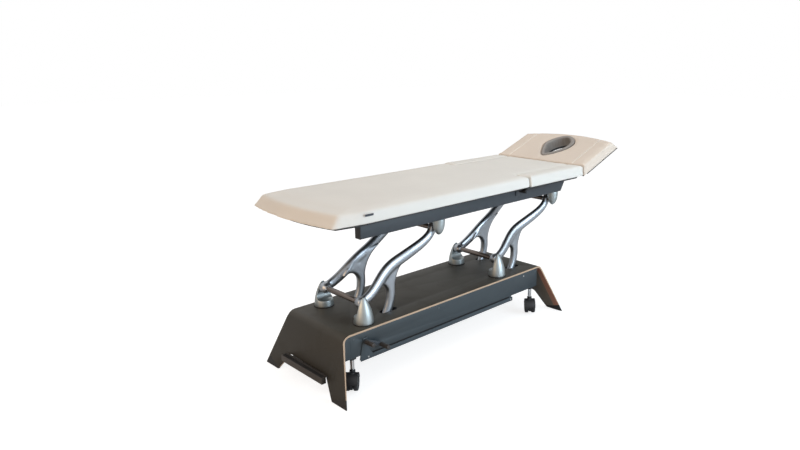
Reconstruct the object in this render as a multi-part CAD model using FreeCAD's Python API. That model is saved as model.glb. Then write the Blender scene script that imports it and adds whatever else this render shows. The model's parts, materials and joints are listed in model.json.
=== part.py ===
import FreeCAD, Part

import math
import os

# Treatment couch on a bent plywood base, lifted by two pairs of Y-shaped cast arms.
# All sizes are in millimetres. X runs to the head end, -Y is the near side, +Z is up.
# Places are worked out about the middle of the base; save() moves them to the row frame,
# whose origin lies on the floor under the middle of the couch.

V = FreeCAD.Vector
Y_AXIS = V(0, 1, 0)
Z_AXIS = V(0, 0, 1)
OUT_DIR = "parts"
os.makedirs(OUT_DIR, exist_ok=True)

# Couch top
TOP_HEIGHT = 822.0
COUCH_WIDTH = 650.0
CUSHION_THICK = 56.0
BOARD_THICK = 18.0
SOFT_GAP = 0.3
CUSHION_EDGE_ROUND = 12.0
CUSHION_SIDE_SLOPE = 4.0
FOOT_END_X = -770.0
FOOT_END_SLOPE = 41.0
FOOT_END_BULGE = 35.0
FOOT_END_INSET = 18.0
FOOT_TAPER_LENGTH = 150.0
MAIN_CUSHION_END_X = 902.0
BOARD_INSET = 52.0
HEAD_BOARD_INSET = 25.0
MAIN_BOARD_END_X = 880.0
TAG_START = 148.0
TAG_LENGTH = 42.0
TAG_HEIGHT = 9.0
TAG_DROP = 22.0

# Side pads beside the head end of the main cushion
PAD_SEAM_X = 431.0
PAD_SEAM_Y = 225.0
PAD_GAP = 3.0
PAD_HEAD_GAP = 4.0
PAD_PIVOT_X = 446.0
PAD_PIVOT_DROP = 29.0
PAD_PIN_RADIUS = 6.0
PAD_KNUCKLE_RADIUS = 11.0
PAD_STRAP_LENGTH = 170.0
PAD_STRAP_THICK = 6.0
PAD_STRAP_Y = (240.0, 284.0)
PAD_BRACKET_THICK = 5.0
PAD_BRACKET_DROP = 30.0
PAD_BRACKET_MARGIN = 3.0
PAD_BOARD_OUTER_Y = 286.0

# Headrest
HEAD_TILT = 20.5
HEAD_PIVOT_X = 906.0
HEAD_PIVOT_Z = 752.0
HEAD_LENGTH = 350.0
HEAD_BULGE = 46.0
HEAD_END_SLOPE = 38.0
HEAD_HINGE_GAP = 4.0
HEAD_BOARD_START = 30.0
HEAD_PIN_RADIUS = 5.0
HEAD_LUG_RADIUS = 12.0
HEAD_LUG_Y = (158.0, 166.0)
HEAD_ARM_Y = (149.5, 156.5)
HEAD_ARM_LENGTH = 310.0
HEAD_ARM_DEPTH = 24.0
HEAD_CROSS_START = 42.0
HEAD_CROSS_WIDTH = 24.0
FACE_HOLE_START = 61.0
FACE_HOLE_LENGTH = 262.0
FACE_HOLE_WIDTH = 194.0
FACE_RIM_WIDTH = 26.0
FACE_RIM_PROUD = 4.0

# Top frame
RAIL_OUTER_Y = 220.0
RAIL_WIDTH = 35.0
RAIL_DEPTH = 73.0
RAIL_WALL = 2.5
RAIL_FOOT_X = -570.0
RAIL_HEAD_X = 880.0
RAIL_HEAD_SLOPE = 45.0
RAIL_CAP_THICK = 5.0
CROSS_MEMBER_WIDTH = 50.0
CROSS_MEMBER_DEPTH = 50.0
CROSS_MEMBER_WALL = 3.0
EXTRA_CROSS_XS = (-500.0, 200.0, 460.0)

# Lift linkage
PIVOT_X_FOOT = -522.0
PIVOT_X_HEAD = 370.0
LOWER_PIVOT_Z = 360.0
ARM_LENGTH = 503.0
ARM_ANGLE = 31.7
LIFT_DOWN_DEGREES = 35.0
LOW_HUB_Y = 140.0
TOP_HUB_Y = 146.0
LIMB_RADIUS_LOW = 22.0
LIMB_RADIUS_MIDDLE = 27.0
LIMB_RADIUS_TOP = 20.0
LIMB_HALF_THICK_ENDS = 15.0
LIMB_HALF_THICK_MIDDLE = 19.5
HUB_RADIUS_LOW = 25.0
HUB_RADIUS_TOP = 20.0
HUB_HALF_WIDTH = 15.0
PRONG_Y = 113.0
PRONG_ARC_RADIUS = 190.0
PRONG_HALF_RADIAL = 21.0
PRONG_HALF_THICK = 16.5
PRONG_END_ANGLE = -75.0
PRONG_START_ANGLE = 27.0
PRONG_HUB_RADIUS = 17.0
PRONG_SHAFT_RADIUS = 8.0
WEB_HALF_THICK = 14.0
CROSS_TUBE_RADIUS = 13.0
PIVOT_SHAFT_RADIUS = 9.0
RUNNING_CLEARANCE = 0.06
LOW_SHAFT_REACH = 170.0
TOP_SHAFT_REACH = 205.0

# Pedestals and top brackets
PEDESTAL_Y = 153.0
PEDESTAL_RADIUS = 45.0
PEDESTAL_HEIGHT = 118.0
PEDESTAL_FOOT = 30.0
SCOOP_Y = 156.0
SCOOP_RADIUS = 26.0
GASKET_THICK = 3.0
GASKET_PROUD = 2.0
BRACKET_Y = 190.0
BRACKET_RADIUS = 30.0
BRACKET_TIP_DROP = 27.0
JOINT_COVER_GAP = 3.0

# Bent plywood base
BASE_TOP_HEIGHT = 269.0
PLY_THICK = 9.0
BASE_HALF_WIDTH = 216.0
FOOT_HALF_WIDTH = 320.0
FOOT_X = 751.0
PANEL_LEAN = 0.28
BEND_RADIUS = 42.0
WIDEN_START_DROP = 19.0
CUTOUT_HEIGHT = 92.0
CUTOUT_TOP_HALF = 140.0
CUTOUT_FLOOR_HALF = 215.0
CUTOUT_ROUND = 25.0
FOOT_CAP_INNER = 8.0
FOOT_CAP_OUTER = 42.0
BEVEL_WIDTH = 37.0
BEVEL_DEPTH = 5.0
SLOT_LENGTH = 98.0
SLOT_OFFSET = 171.0
SLOT_WIDTH = 40.0
SLOT_LINER = 1.5

# Base sides and chassis
PANEL_OUTER_Y = 213.0
PANEL_THICK = 2.0
PANEL_BOTTOM = 155.0
PANEL_LIP = 14.0
PANEL_SCREW_INSET = 18.0
PANEL_SCREW_XS = (-120.0, 525.0)
LOWER_RAIL_THICK = 4.0
LOWER_RAIL_BOTTOM = 128.0
LOWER_RAIL_TOP = 148.0
LOWER_RAIL_XS = (-592.0, 427.0)
HANGER_INSETS = (42.0, 14.0)
HANGER_HALF = 9.0
PEG_PLATE_TOP_Z = 232.0
PEG_PLATE_OVERHANG = 5.0
PEG_PLATE_LENGTH = 72.0
PEG_PLATE_TOP_XS = (22.0, 46.0)
CHASSIS_END_MARGIN = 2.0
CHASSIS_RAIL_Y = (140.0, 174.0)
CHASSIS_RAIL_DEPTH = 40.0
CHASSIS_WALL = 3.0
CHASSIS_CROSS_WIDTH = 36.0
CHASSIS_CROSS_DEPTH = 30.0
CHASSIS_MIDDLE_XS = (10.0, 250.0)
SCREW_HEAD_RADIUS = 4.0
SCREW_HEAD_PROUD = 1.6

# Castor pedal and link bar
PEDAL_X = -526.0
PEDAL_Z = 198.0
PEDAL_SPACING = 88.0
PEDAL_REST_ANGLE = -24.0
PEDAL_SHAFT_RADIUS = 9.0
PEDAL_ARM_THICK = 8.0
PEDAL_ARM_HALF = 11.0
PEG_RADIUS = 10.0
PEG_LENGTH = 52.0
LINK_BAR_Y = (182.0, 186.0)
LINK_BAR_Z = (162.5, 200.0)
LINK_BAR_TRAVEL = 25.0
CRANK_RADIUS = 30.0
LINK_ROD_X = 540.0
LINK_ROD_RADIUS = 5.0

# Castors
CASTOR_X_FOOT = -626.0
CASTOR_X_HEAD = 600.0
CASTOR_Y = 198.0
CASTOR_TRAIL = 22.0
CASTOR_HEADING = 225.0
CASTOR_LIFT = 13.4
WHEEL_RADIUS = 37.5
WHEEL_WIDTH = 20.0
WHEEL_CENTRE_Z = 50.0
HOOD_WEB_HALF = 7.0
HOOD_GAP = 1.5
HOOD_WALL = 3.0
HOOD_WEB_DROP = 20.0
STEM_RADIUS = 5.5
STEM_TOP_Z = 236.0
STEM_PIN_RADIUS = 3.0
STEM_PIN_Z = 190.0
AXLE_RADIUS = 4.0
GUIDE_LOW_Z = (146.0, 160.0)
GUIDE_HIGH_Z = (202.0, 214.0)

# Foot-end height bar
END_BAR_HALF_LENGTH = 162.0
END_BAR_X = (-760.0, -738.0)
END_BAR_Z = (62.0, 92.0)
END_BAR_WALL = 3.0
END_BAR_ARM_Y = 70.0
END_BAR_ARM_HALF = 9.0
END_BAR_PIVOT_X = -622.0
END_BAR_PIVOT_Z = 72.0
END_BAR_PIN_RADIUS = 5.0

# Actuator, crosshead and tie rod
ACTUATOR_Z = 183.0
ACTUATOR_TUBE_RADIUS = 22.0
ACTUATOR_TUBE_XS = (40.0, 275.0)
GEAR_CASE_XS = (-24.0, 40.0)
GEAR_CASE_HALF_Y = 34.0
GEAR_CASE_Z = (150.0, 214.0)
MOTOR_RADIUS = 29.0
MOTOR_LENGTH = 120.0
ROD_RADIUS = 10.0
ROD_INNER_X = 190.0
YOKE_HALF_X = 22.0
YOKE_HALF_Z = 36.0
YOKE_HALF_Y = 12.0
YOKE_PLAY_X = 4.0
YOKE_SLOT_HALF_Z = 26.0
TIE_Y = (44.0, 52.0)
TIE_HALF_DEPTH = 12.0
TIE_EYE_RADIUS = 16.0
TIE_OPEN_CLEARANCE = 0.3
CONTROL_BOX_XS = (-300.0, -170.0)
CONTROL_BOX_YS = (-95.0, 28.0)
CONTROL_BOX_Z = (165.0, 214.0)
INLET_X = 560.0
INLET_Z = 200.0
INLET_SIZE = (50.0, 28.0)

# Values that follow from the sizes above
HALF_WIDTH = COUCH_WIDTH / 2
CUSHION_BOTTOM = TOP_HEIGHT - CUSHION_THICK
BOARD_TOP = CUSHION_BOTTOM - SOFT_GAP
BOARD_BOTTOM = BOARD_TOP - BOARD_THICK
RAIL_TOP = BOARD_BOTTOM
RAIL_BOTTOM = RAIL_TOP - RAIL_DEPTH
CROSS_BOTTOM = RAIL_TOP - CROSS_MEMBER_DEPTH
ARM_REACH = ARM_LENGTH * math.cos(math.radians(ARM_ANGLE))
ARM_RISE = ARM_LENGTH * math.sin(math.radians(ARM_ANGLE))
UPPER_PIVOT_Z = LOWER_PIVOT_Z + ARM_RISE
PIVOT_XS = (PIVOT_X_FOOT, PIVOT_X_HEAD)
UPPER_PIVOT_XS = (PIVOT_X_FOOT + ARM_REACH, PIVOT_X_HEAD + ARM_REACH)
PLY_UNDERSIDE = BASE_TOP_HEIGHT - PLY_THICK
CHASSIS_HALF_LENGTH = -END_BAR_PIVOT_X + CHASSIS_CROSS_WIDTH / 2 + CHASSIS_END_MARGIN
PANEL_HALF_LENGTH = CHASSIS_HALF_LENGTH
PEDESTAL_BASE_Z = BASE_TOP_HEIGHT + GASKET_THICK
PEDAL_FACE_Y = PANEL_OUTER_Y + LOWER_RAIL_THICK + 1.4
HEAD_COS = math.cos(math.radians(HEAD_TILT))
HEAD_SIN = math.sin(math.radians(HEAD_TILT))
HEAD_PIVOT_DROP = TOP_HEIGHT - HEAD_PIVOT_Z
HEAD_TOP_H = HEAD_PIVOT_DROP * HEAD_COS
HEAD_HINGE_S = HEAD_PIVOT_DROP * HEAD_SIN
HEAD_UNDER_H = HEAD_TOP_H - CUSHION_THICK
HEAD_BOARD_H = HEAD_UNDER_H - SOFT_GAP
HEAD_EYE_RADIUS = HEAD_UNDER_H - 2 * SOFT_GAP
PAD_PIVOT_Z = BOARD_TOP - PAD_PIVOT_DROP
SHAFT_DX = PRONG_ARC_RADIUS * math.cos(math.radians(PRONG_END_ANGLE))
SHAFT_DZ = PRONG_ARC_RADIUS * math.sin(math.radians(PRONG_END_ANGLE))
SHAFT_Z = LOWER_PIVOT_Z + SHAFT_DZ
YOKE_TRAVEL_DOWN = SHAFT_DX - PRONG_ARC_RADIUS * math.cos(math.radians(PRONG_END_ANGLE - LIFT_DOWN_DEGREES))
CASTOR_SPOTS = {
    "foot_near": (CASTOR_X_FOOT, -CASTOR_Y),
    "foot_far": (CASTOR_X_FOOT, CASTOR_Y),
    "head_near": (CASTOR_X_HEAD, -CASTOR_Y),
    "head_far": (CASTOR_X_HEAD, CASTOR_Y),
}


def head_tip_x():
    """Furthest point of the headrest towards the head end, before the shift."""
    end_s = HEAD_HINGE_S + HEAD_LENGTH + HEAD_END_SLOPE
    return HEAD_PIVOT_X + end_s * HEAD_COS - HEAD_UNDER_H * HEAD_SIN


ORIGIN_X = (FOOT_END_X - FOOT_END_BULGE + head_tip_x()) / 2


def save(name, shape):
    """Move a finished piece to the row frame and write it."""
    placed = shape.copy()
    placed.translate(V(-ORIGIN_X, 0, 0))
    placed.exportStep(os.path.join(OUT_DIR, name + ".step"))
    print(name, "solids", len(placed.Solids), "volume", round(placed.Volume), "valid", placed.isValid())


# General shapes

def box(xs, ys, zs):
    """Block between two x, two y and two z values."""
    size = (max(xs) - min(xs), max(ys) - min(ys), max(zs) - min(zs))
    return Part.makeBox(size[0], size[1], size[2], V(min(xs), min(ys), min(zs)))


def rod(radius, start, end):
    """Round bar from one point to another."""
    along = end.sub(start)
    return Part.makeCylinder(radius, along.Length, start, along)


def rod_y(radius, x, z, ys):
    """Round bar along Y."""
    return rod(radius, V(x, min(ys), z), V(x, max(ys), z))


def rod_x(radius, y, z, xs):
    """Round bar along X."""
    return rod(radius, V(min(xs), y, z), V(max(xs), y, z))


def rod_z(radius, x, y, zs):
    """Upright round bar."""
    return rod(radius, V(x, y, min(zs)), V(x, y, max(zs)))


def tube_x(xs, ys, zs, wall):
    """Open rectangular tube along X."""
    hollow = box(xs, (min(ys) + wall, max(ys) - wall), (min(zs) + wall, max(zs) - wall))
    return box(xs, ys, zs).cut(hollow)


def tube_y(xs, ys, zs, wall):
    """Open rectangular tube along Y."""
    hollow = box((min(xs) + wall, max(xs) - wall), ys, (min(zs) + wall, max(zs) - wall))
    return box(xs, ys, zs).cut(hollow)


def prism_y(points, ys):
    """Flat outline of (x, z) points, given thickness along Y."""
    corners = [V(x, min(ys), z) for x, z in points]
    face = Part.Face(Part.makePolygon(corners + corners[:1]))
    return face.extrude(V(0, max(ys) - min(ys), 0))


def prism_x(points, xs):
    """Flat outline of (y, z) points, given thickness along X."""
    corners = [V(min(xs), y, z) for y, z in points]
    face = Part.Face(Part.makePolygon(corners + corners[:1]))
    return face.extrude(V(max(xs) - min(xs), 0, 0))


def slot_y(radius, start, end, ys):
    """Long round-ended slot cutter along Y between two (x, z) points."""
    along = V(end[0] - start[0], 0, end[1] - start[1])
    side = V(-along.z, 0, along.x).normalize().multiply(radius)
    low = V(start[0], min(ys), start[1])
    high = V(end[0], min(ys), end[1])
    corners = [low.add(side), high.add(side), high.sub(side), low.sub(side)]
    middle = Part.Face(Part.makePolygon(corners + corners[:1])).extrude(V(0, max(ys) - min(ys), 0))
    ends = [rod_y(radius, start[0], start[1], ys), rod_y(radius, end[0], end[1], ys)]
    return middle.fuse(ends).removeSplitter()


def both_sides(shape):
    """The piece and its mirror image across the couch's middle plane."""
    return [shape, mirrored(shape)]


def mirrored(shape):
    """Mirror image across the couch's middle plane."""
    return shape.mirror(V(0, 0, 0), Y_AXIS)


def group(shapes):
    """Separate solids kept in one piece of the list."""
    solids = []
    for shape in shapes:
        solids.extend(shape.Solids)
    return Part.makeCompound(solids)


def edges_where(shape, test):
    """Edges whose both ends and middle pass a test on the point."""
    chosen = []
    for edge in shape.Edges:
        points = [vertex.Point for vertex in edge.Vertexes]
        points.append(edge.CenterOfMass)
        if all(test(point) for point in points):
            chosen.append(edge)
    return chosen


# Bent plywood base

def panel_outer_x(z):
    """How far out the end panel's outer face is at a height."""
    return FOOT_X - PANEL_LEAN * z


def base_half_width(z):
    """Half width of the base at a height: straight at the top, wider towards the floor."""
    widen_from = BASE_TOP_HEIGHT - WIDEN_START_DROP
    if z >= widen_from:
        return BASE_HALF_WIDTH
    return FOOT_HALF_WIDTH - (FOOT_HALF_WIDTH - BASE_HALF_WIDTH) * z / widen_from


def bridge_band():
    """Constant-thickness band of the side view, wide enough for the whole base."""
    top_corner = panel_outer_x(BASE_TOP_HEIGHT)
    outer = [(-FOOT_X, 0), (-top_corner, BASE_TOP_HEIGHT), (top_corner, BASE_TOP_HEIGHT), (FOOT_X, 0)]
    lean_length = math.hypot(1, PANEL_LEAN)
    inner_foot = FOOT_X - PLY_THICK * lean_length
    inner_top = inner_foot - PANEL_LEAN * PLY_UNDERSIDE
    inner = [(-inner_foot, 0), (-inner_top, PLY_UNDERSIDE), (inner_top, PLY_UNDERSIDE), (inner_foot, 0)]
    wide = (-FOOT_HALF_WIDTH, FOOT_HALF_WIDTH)
    outside = prism_y(outer, wide)
    outside = round_bends(outside, BASE_TOP_HEIGHT, BEND_RADIUS)
    inside = round_bends(prism_y(inner, wide), PLY_UNDERSIDE, BEND_RADIUS - PLY_THICK)
    return outside.cut(inside)


def round_bends(shape, height, radius):
    """Round the two upper edges that run across the base."""
    bends = edges_where(shape, lambda p: abs(p.z - height) < 0.01 and abs(p.x) > FOOT_X / 2)
    across = [edge for edge in bends if abs(edge.tangentAt(edge.FirstParameter).y) > 0.9]
    return shape.makeFillet(radius, across)


def end_cutout(side):
    """Cutter for the opening between the two legs of an end panel."""
    outline = [(-CUTOUT_FLOOR_HALF, 0), (-CUTOUT_TOP_HALF, CUTOUT_HEIGHT)]
    outline += [(CUTOUT_TOP_HALF, CUTOUT_HEIGHT), (CUTOUT_FLOOR_HALF, 0)]
    xs = (side * FOOT_X / 2, side * (FOOT_X + PLY_THICK))
    cutter = prism_x(outline, xs)
    corners = edges_where(cutter, lambda p: abs(p.z - CUTOUT_HEIGHT) < 0.01)
    along = [edge for edge in corners if abs(edge.tangentAt(edge.FirstParameter).x) > 0.9]
    return cutter.makeFillet(CUTOUT_ROUND, along)


def cap_zone(side_x, side_y):
    """Space of one rubber foot, with its top edge rising outwards."""
    outline = [(side_y * CUTOUT_FLOOR_HALF / 2, 0), (side_y * CUTOUT_FLOOR_HALF / 2, FOOT_CAP_INNER)]
    outline += [(side_y * CUTOUT_FLOOR_HALF, FOOT_CAP_INNER)]
    outline += [(side_y * (FOOT_HALF_WIDTH + 1), FOOT_CAP_OUTER), (side_y * (FOOT_HALF_WIDTH + 1), 0)]
    return prism_x(outline, (side_x * FOOT_X / 2, side_x * (FOOT_X + 1)))


def edge_bevel(side_x, side_y):
    """Wedge cut from the inner face beside a leg's outer edge, growing towards the floor."""
    lean_length = math.hypot(1, PANEL_LEAN)
    top_z = BASE_TOP_HEIGHT - WIDEN_START_DROP - BEND_RADIUS
    sections = []
    for z, grow in ((0, 1.0), (top_z, 0.25)):
        inner = panel_outer_x(z) - PLY_THICK * lean_length
        edge = base_half_width(z) + 1
        corners = [(inner - 1, edge - BEVEL_WIDTH * grow - 1), (inner - 1, edge)]
        corners += [(inner + BEVEL_DEPTH * grow, edge)]
        points = [V(side_x * x, side_y * y, z) for x, y in corners]
        sections.append(Part.makePolygon(points + points[:1]))
    return Part.makeLoft(sections, True, True)


def prong_slot(pivot_x, side_y, margin):
    """Round-ended slot in the base top, larger all round by the margin."""
    half_x = SLOT_LENGTH / 2 + margin
    half_y = SLOT_WIDTH / 2 + margin
    centre_x = pivot_x + SLOT_OFFSET
    centre_y = side_y * PRONG_Y
    straight = half_x - half_y
    zs = (PLY_UNDERSIDE, BASE_TOP_HEIGHT)
    cutter = box((centre_x - straight, centre_x + straight), (centre_y - half_y, centre_y + half_y), zs)
    ends = [rod_z(half_y, centre_x + step, centre_y, zs) for step in (-straight, straight)]
    return cutter.fuse(ends).removeSplitter()


def each_slot(margin):
    """The four prong slots as separate shapes."""
    return [prong_slot(x, side, margin) for x in PIVOT_XS for side in (-1, 1)]


def base_with_feet():
    """Whole bridge with its legs, before the rubber feet are parted off."""
    widen_from = BASE_TOP_HEIGHT - WIDEN_START_DROP
    outline = [(-FOOT_HALF_WIDTH, 0), (-BASE_HALF_WIDTH, widen_from), (-BASE_HALF_WIDTH, BASE_TOP_HEIGHT)]
    outline += [(BASE_HALF_WIDTH, BASE_TOP_HEIGHT), (BASE_HALF_WIDTH, widen_from), (FOOT_HALF_WIDTH, 0)]
    body = bridge_band().common(prism_x(outline, (-FOOT_X, FOOT_X)))
    cutters = [end_cutout(side) for side in (-1, 1)]
    cutters += [edge_bevel(side_x, side_y) for side_x in (-1, 1) for side_y in (-1, 1)]
    return body.cut(cutters)


def ply_shell(body):
    """Bent plywood bridge with slots for the prongs."""
    zones = [cap_zone(side_x, side_y) for side_x in (-1, 1) for side_y in (-1, 1)]
    return body.cut(zones + each_slot(0)).removeSplitter()


def foot_caps(body):
    """Four rubber feet, each the parted-off end of a leg."""
    zones = [cap_zone(side_x, side_y) for side_x in (-1, 1) for side_y in (-1, 1)]
    return group([body.common(zone) for zone in zones])


def slot_liners():
    """Thin plastic linings of the four prong slots."""
    return group([outer.cut(inner) for outer, inner in zip(each_slot(-0.05), each_slot(-SLOT_LINER))])


# Chassis inside the base

def castor_guides(x, y):
    """Bracket with a low and a high guide for one castor stem."""
    side = 1 if y > 0 else -1
    inner = side * CHASSIS_RAIL_Y[1]
    outer = side * (PANEL_OUTER_Y - PANEL_THICK - 1)
    half = STEM_RADIUS * 2.6
    web_y = (inner, inner + side * 5)
    web = box((x - half, x + half), web_y, (GUIDE_LOW_Z[0], PLY_UNDERSIDE - CHASSIS_RAIL_DEPTH / 2))
    guides = [box((x - half, x + half), (inner, outer), zs) for zs in (GUIDE_LOW_Z, GUIDE_HIGH_Z)]
    return web.fuse(guides)


def end_bar_lugs():
    """Two hanging lugs that carry the pivot of the foot-end bar."""
    lugs = []
    top = PLY_UNDERSIDE - CHASSIS_CROSS_DEPTH
    for side in (-1, 1):
        y = side * (END_BAR_ARM_Y + END_BAR_ARM_HALF + 4)
        ys = (y - 3, y + 3)
        half = END_BAR_PIN_RADIUS * 2.2
        zs = (END_BAR_PIVOT_Z, top)
        plate = box((END_BAR_PIVOT_X - half, END_BAR_PIVOT_X + half), ys, zs)
        lugs.append(plate.fuse(rod_y(half, END_BAR_PIVOT_X, END_BAR_PIVOT_Z, ys)))
    return lugs


def chassis_frame():
    """Welded steel frame under the plywood, with castor guides and lugs."""
    zs = (PLY_UNDERSIDE - CHASSIS_RAIL_DEPTH, PLY_UNDERSIDE)
    xs = (-CHASSIS_HALF_LENGTH, CHASSIS_HALF_LENGTH)
    frame = tube_x(xs, CHASSIS_RAIL_Y, zs, CHASSIS_WALL)
    parts = [mirrored(frame)]
    cross_z = (PLY_UNDERSIDE - CHASSIS_CROSS_DEPTH, PLY_UNDERSIDE)
    cross_y = (-CHASSIS_RAIL_Y[0], CHASSIS_RAIL_Y[0])
    half = CHASSIS_CROSS_WIDTH / 2
    for x in (END_BAR_PIVOT_X, *PIVOT_XS, *CHASSIS_MIDDLE_XS, -END_BAR_PIVOT_X):
        parts.append(tube_y((x - half, x + half), cross_y, cross_z, CHASSIS_WALL))
    for x, y in CASTOR_SPOTS.values():
        parts.append(castor_guides(x, y))
    parts += end_bar_lugs()
    pedal_block = box((PEDAL_X - 16, PEDAL_X + 16), (-CHASSIS_RAIL_Y[1], -CHASSIS_RAIL_Y[0]),
                      (PEDAL_Z - 16, zs[0] + CHASSIS_WALL))
    parts.append(pedal_block)
    frame = frame.fuse(parts)
    holes = [rod_z(STEM_RADIUS + RUNNING_CLEARANCE, x, y, (GUIDE_LOW_Z[0], STEM_TOP_Z + 5))
             for x, y in CASTOR_SPOTS.values()]
    holes.append(rod_y(END_BAR_PIN_RADIUS + RUNNING_CLEARANCE, END_BAR_PIVOT_X, END_BAR_PIVOT_Z,
                       (-HALF_WIDTH, HALF_WIDTH)))
    holes.append(rod_y(PEDAL_SHAFT_RADIUS + RUNNING_CLEARANCE, PEDAL_X, PEDAL_Z,
                       (-HALF_WIDTH, -CHASSIS_RAIL_Y[0] + 1)))
    return frame.cut(holes).removeSplitter()


def side_panel():
    """Folded steel side panel of the near side, with a lip along its lower edge."""
    xs = (-PANEL_HALF_LENGTH, PANEL_HALF_LENGTH)
    ys = (-PANEL_OUTER_Y, -PANEL_OUTER_Y + PANEL_THICK)
    face = box(xs, ys, (PANEL_BOTTOM, PLY_UNDERSIDE))
    lip_y = (-PANEL_OUTER_Y, -PANEL_OUTER_Y + PANEL_LIP)
    lip = box((CASTOR_X_FOOT + 40, CASTOR_X_HEAD - 40), lip_y, (PANEL_BOTTOM, PANEL_BOTTOM + PANEL_THICK))
    return face.fuse(lip).removeSplitter()


def side_panels():
    """Both steel side panels, the near one with a hole for the pedal shaft."""
    hole = rod_y(PEDAL_SHAFT_RADIUS + 1, PEDAL_X, PEDAL_Z, (-HALF_WIDTH, 0))
    near = side_panel().cut(hole)
    far = mirrored(side_panel())
    return group([near, far])


def hanger_xs():
    """Places of the tabs that the lower strip hangs on."""
    return LOWER_RAIL_XS[0] + HANGER_INSETS[0], LOWER_RAIL_XS[1] - HANGER_INSETS[1]


def lower_rail(with_plate):
    """Long steel strip below the near side panel, with hangers and the peg plate."""
    face_y = PANEL_OUTER_Y + 0.4
    ys = (-face_y, -face_y - LOWER_RAIL_THICK)
    strip = box(LOWER_RAIL_XS, ys, (LOWER_RAIL_BOTTOM, LOWER_RAIL_TOP))
    parts = []
    for x in hanger_xs():
        xs = (x - HANGER_HALF, x + HANGER_HALF)
        parts.append(box(xs, (-face_y, -face_y + HANGER_HALF), (LOWER_RAIL_BOTTOM + 2, PANEL_BOTTOM)))
    if with_plate:
        foot_x = LOWER_RAIL_XS[0] - PEG_PLATE_OVERHANG
        shoulder = V(foot_x + PEG_PLATE_LENGTH, ys[0], LOWER_RAIL_TOP)
        top_xs = [foot_x + x for x in PEG_PLATE_TOP_XS]
        neck = V(top_xs[1], ys[0], PEG_PLATE_TOP_Z)
        corners = [V(foot_x, ys[0], LOWER_RAIL_BOTTOM + 8), V(top_xs[0], ys[0], PEG_PLATE_TOP_Z), neck]
        curve = Part.Arc(neck, V(top_xs[1] + 2, ys[0], LOWER_RAIL_TOP + 35), shoulder)
        edges = [Part.LineSegment(corners[0], corners[1]), Part.LineSegment(corners[1], neck), curve]
        base_point = V(foot_x + PEG_PLATE_LENGTH, ys[0], LOWER_RAIL_BOTTOM + 8)
        edges += [Part.LineSegment(shoulder, base_point), Part.LineSegment(base_point, corners[0])]
        outline = Part.Wire([edge.toShape() for edge in edges])
        parts.append(Part.Face(outline).extrude(V(0, -LOWER_RAIL_THICK, 0)))
    return strip.fuse(parts).removeSplitter()


def lower_rails():
    """Lower strips of both sides; only the near one carries the peg plate."""
    return group([lower_rail(True), mirrored(lower_rail(False))])


def screw_spots():
    """Places of the visible screws of one side as (x, z, outer face)."""
    rail_face = PANEL_OUTER_Y + 0.4 + LOWER_RAIL_THICK
    middle = (LOWER_RAIL_BOTTOM + LOWER_RAIL_TOP) / 2
    spots = [(x, middle, rail_face) for x in hanger_xs()]
    end_x = PANEL_HALF_LENGTH - PANEL_SCREW_INSET
    for x in (-end_x, *PANEL_SCREW_XS, end_x):
        spots.append((x, PLY_UNDERSIDE - CHASSIS_RAIL_DEPTH / 2, PANEL_OUTER_Y))
    return spots


def panel_screws():
    """Button-head screws in the side panels and the lower strips."""
    screws = []
    for x, z, face in screw_spots():
        place = V(x, -face, z)
        head = Part.makeCone(SCREW_HEAD_RADIUS, SCREW_HEAD_RADIUS * 0.6, SCREW_HEAD_PROUD, place, V(0, -1, 0))
        screws += both_sides(head)
    return group(screws)


def control_box():
    """Sealed electronics box hung under the plywood."""
    body = box(CONTROL_BOX_XS, CONTROL_BOX_YS, CONTROL_BOX_Z)
    upright = [edge for edge in body.Edges if abs(edge.tangentAt(edge.FirstParameter).z) > 0.9]
    body = body.makeFillet(8, upright)
    mount_x = (CONTROL_BOX_XS[0] + 20, CONTROL_BOX_XS[1] - 20)
    post = box(mount_x, (CONTROL_BOX_YS[0] + 20, CONTROL_BOX_YS[1] - 20), (CONTROL_BOX_Z[1], PLY_UNDERSIDE))
    return body.fuse(post)


def mains_inlet():
    """Mains inlet in the far side panel."""
    half_x = INLET_SIZE[0] / 2
    half_z = INLET_SIZE[1] / 2
    zs = (INLET_Z - half_z, INLET_Z + half_z)
    flange = box((INLET_X - half_x, INLET_X + half_x), (PANEL_OUTER_Y, PANEL_OUTER_Y + 3), zs)
    well = box((INLET_X - 12, INLET_X + 12), (PANEL_OUTER_Y, PANEL_OUTER_Y + 3), (INLET_Z - 8, INLET_Z + 8))
    back_x = (INLET_X - 15, INLET_X + 15)
    back = box(back_x, (PANEL_OUTER_Y, PANEL_OUTER_Y + 1), (INLET_Z - 11, INLET_Z + 11))
    return flange.cut(well).fuse(back).removeSplitter()


# Pedestals

def bullet(radius, height, levels, centre, up):
    """Round bullet turned about an upright axis; levels are (height share, radius share)."""
    points = [V(radius * share_r, 0, up * height * share_h) for share_h, share_r in levels]
    side = Part.BSplineCurve()
    side.interpolate(points)
    top = V(0, 0, points[-1].z)
    edges = [Part.LineSegment(V(0, 0, 0), points[0]).toShape(), side.toShape()]
    edges += [Part.LineSegment(points[-1], top).toShape(), Part.LineSegment(top, V(0, 0, 0)).toShape()]
    turned = Part.Face(Part.Wire(edges)).revolve(V(0, 0, 0), Z_AXIS, 360)
    turned.translate(centre)
    return turned


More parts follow.
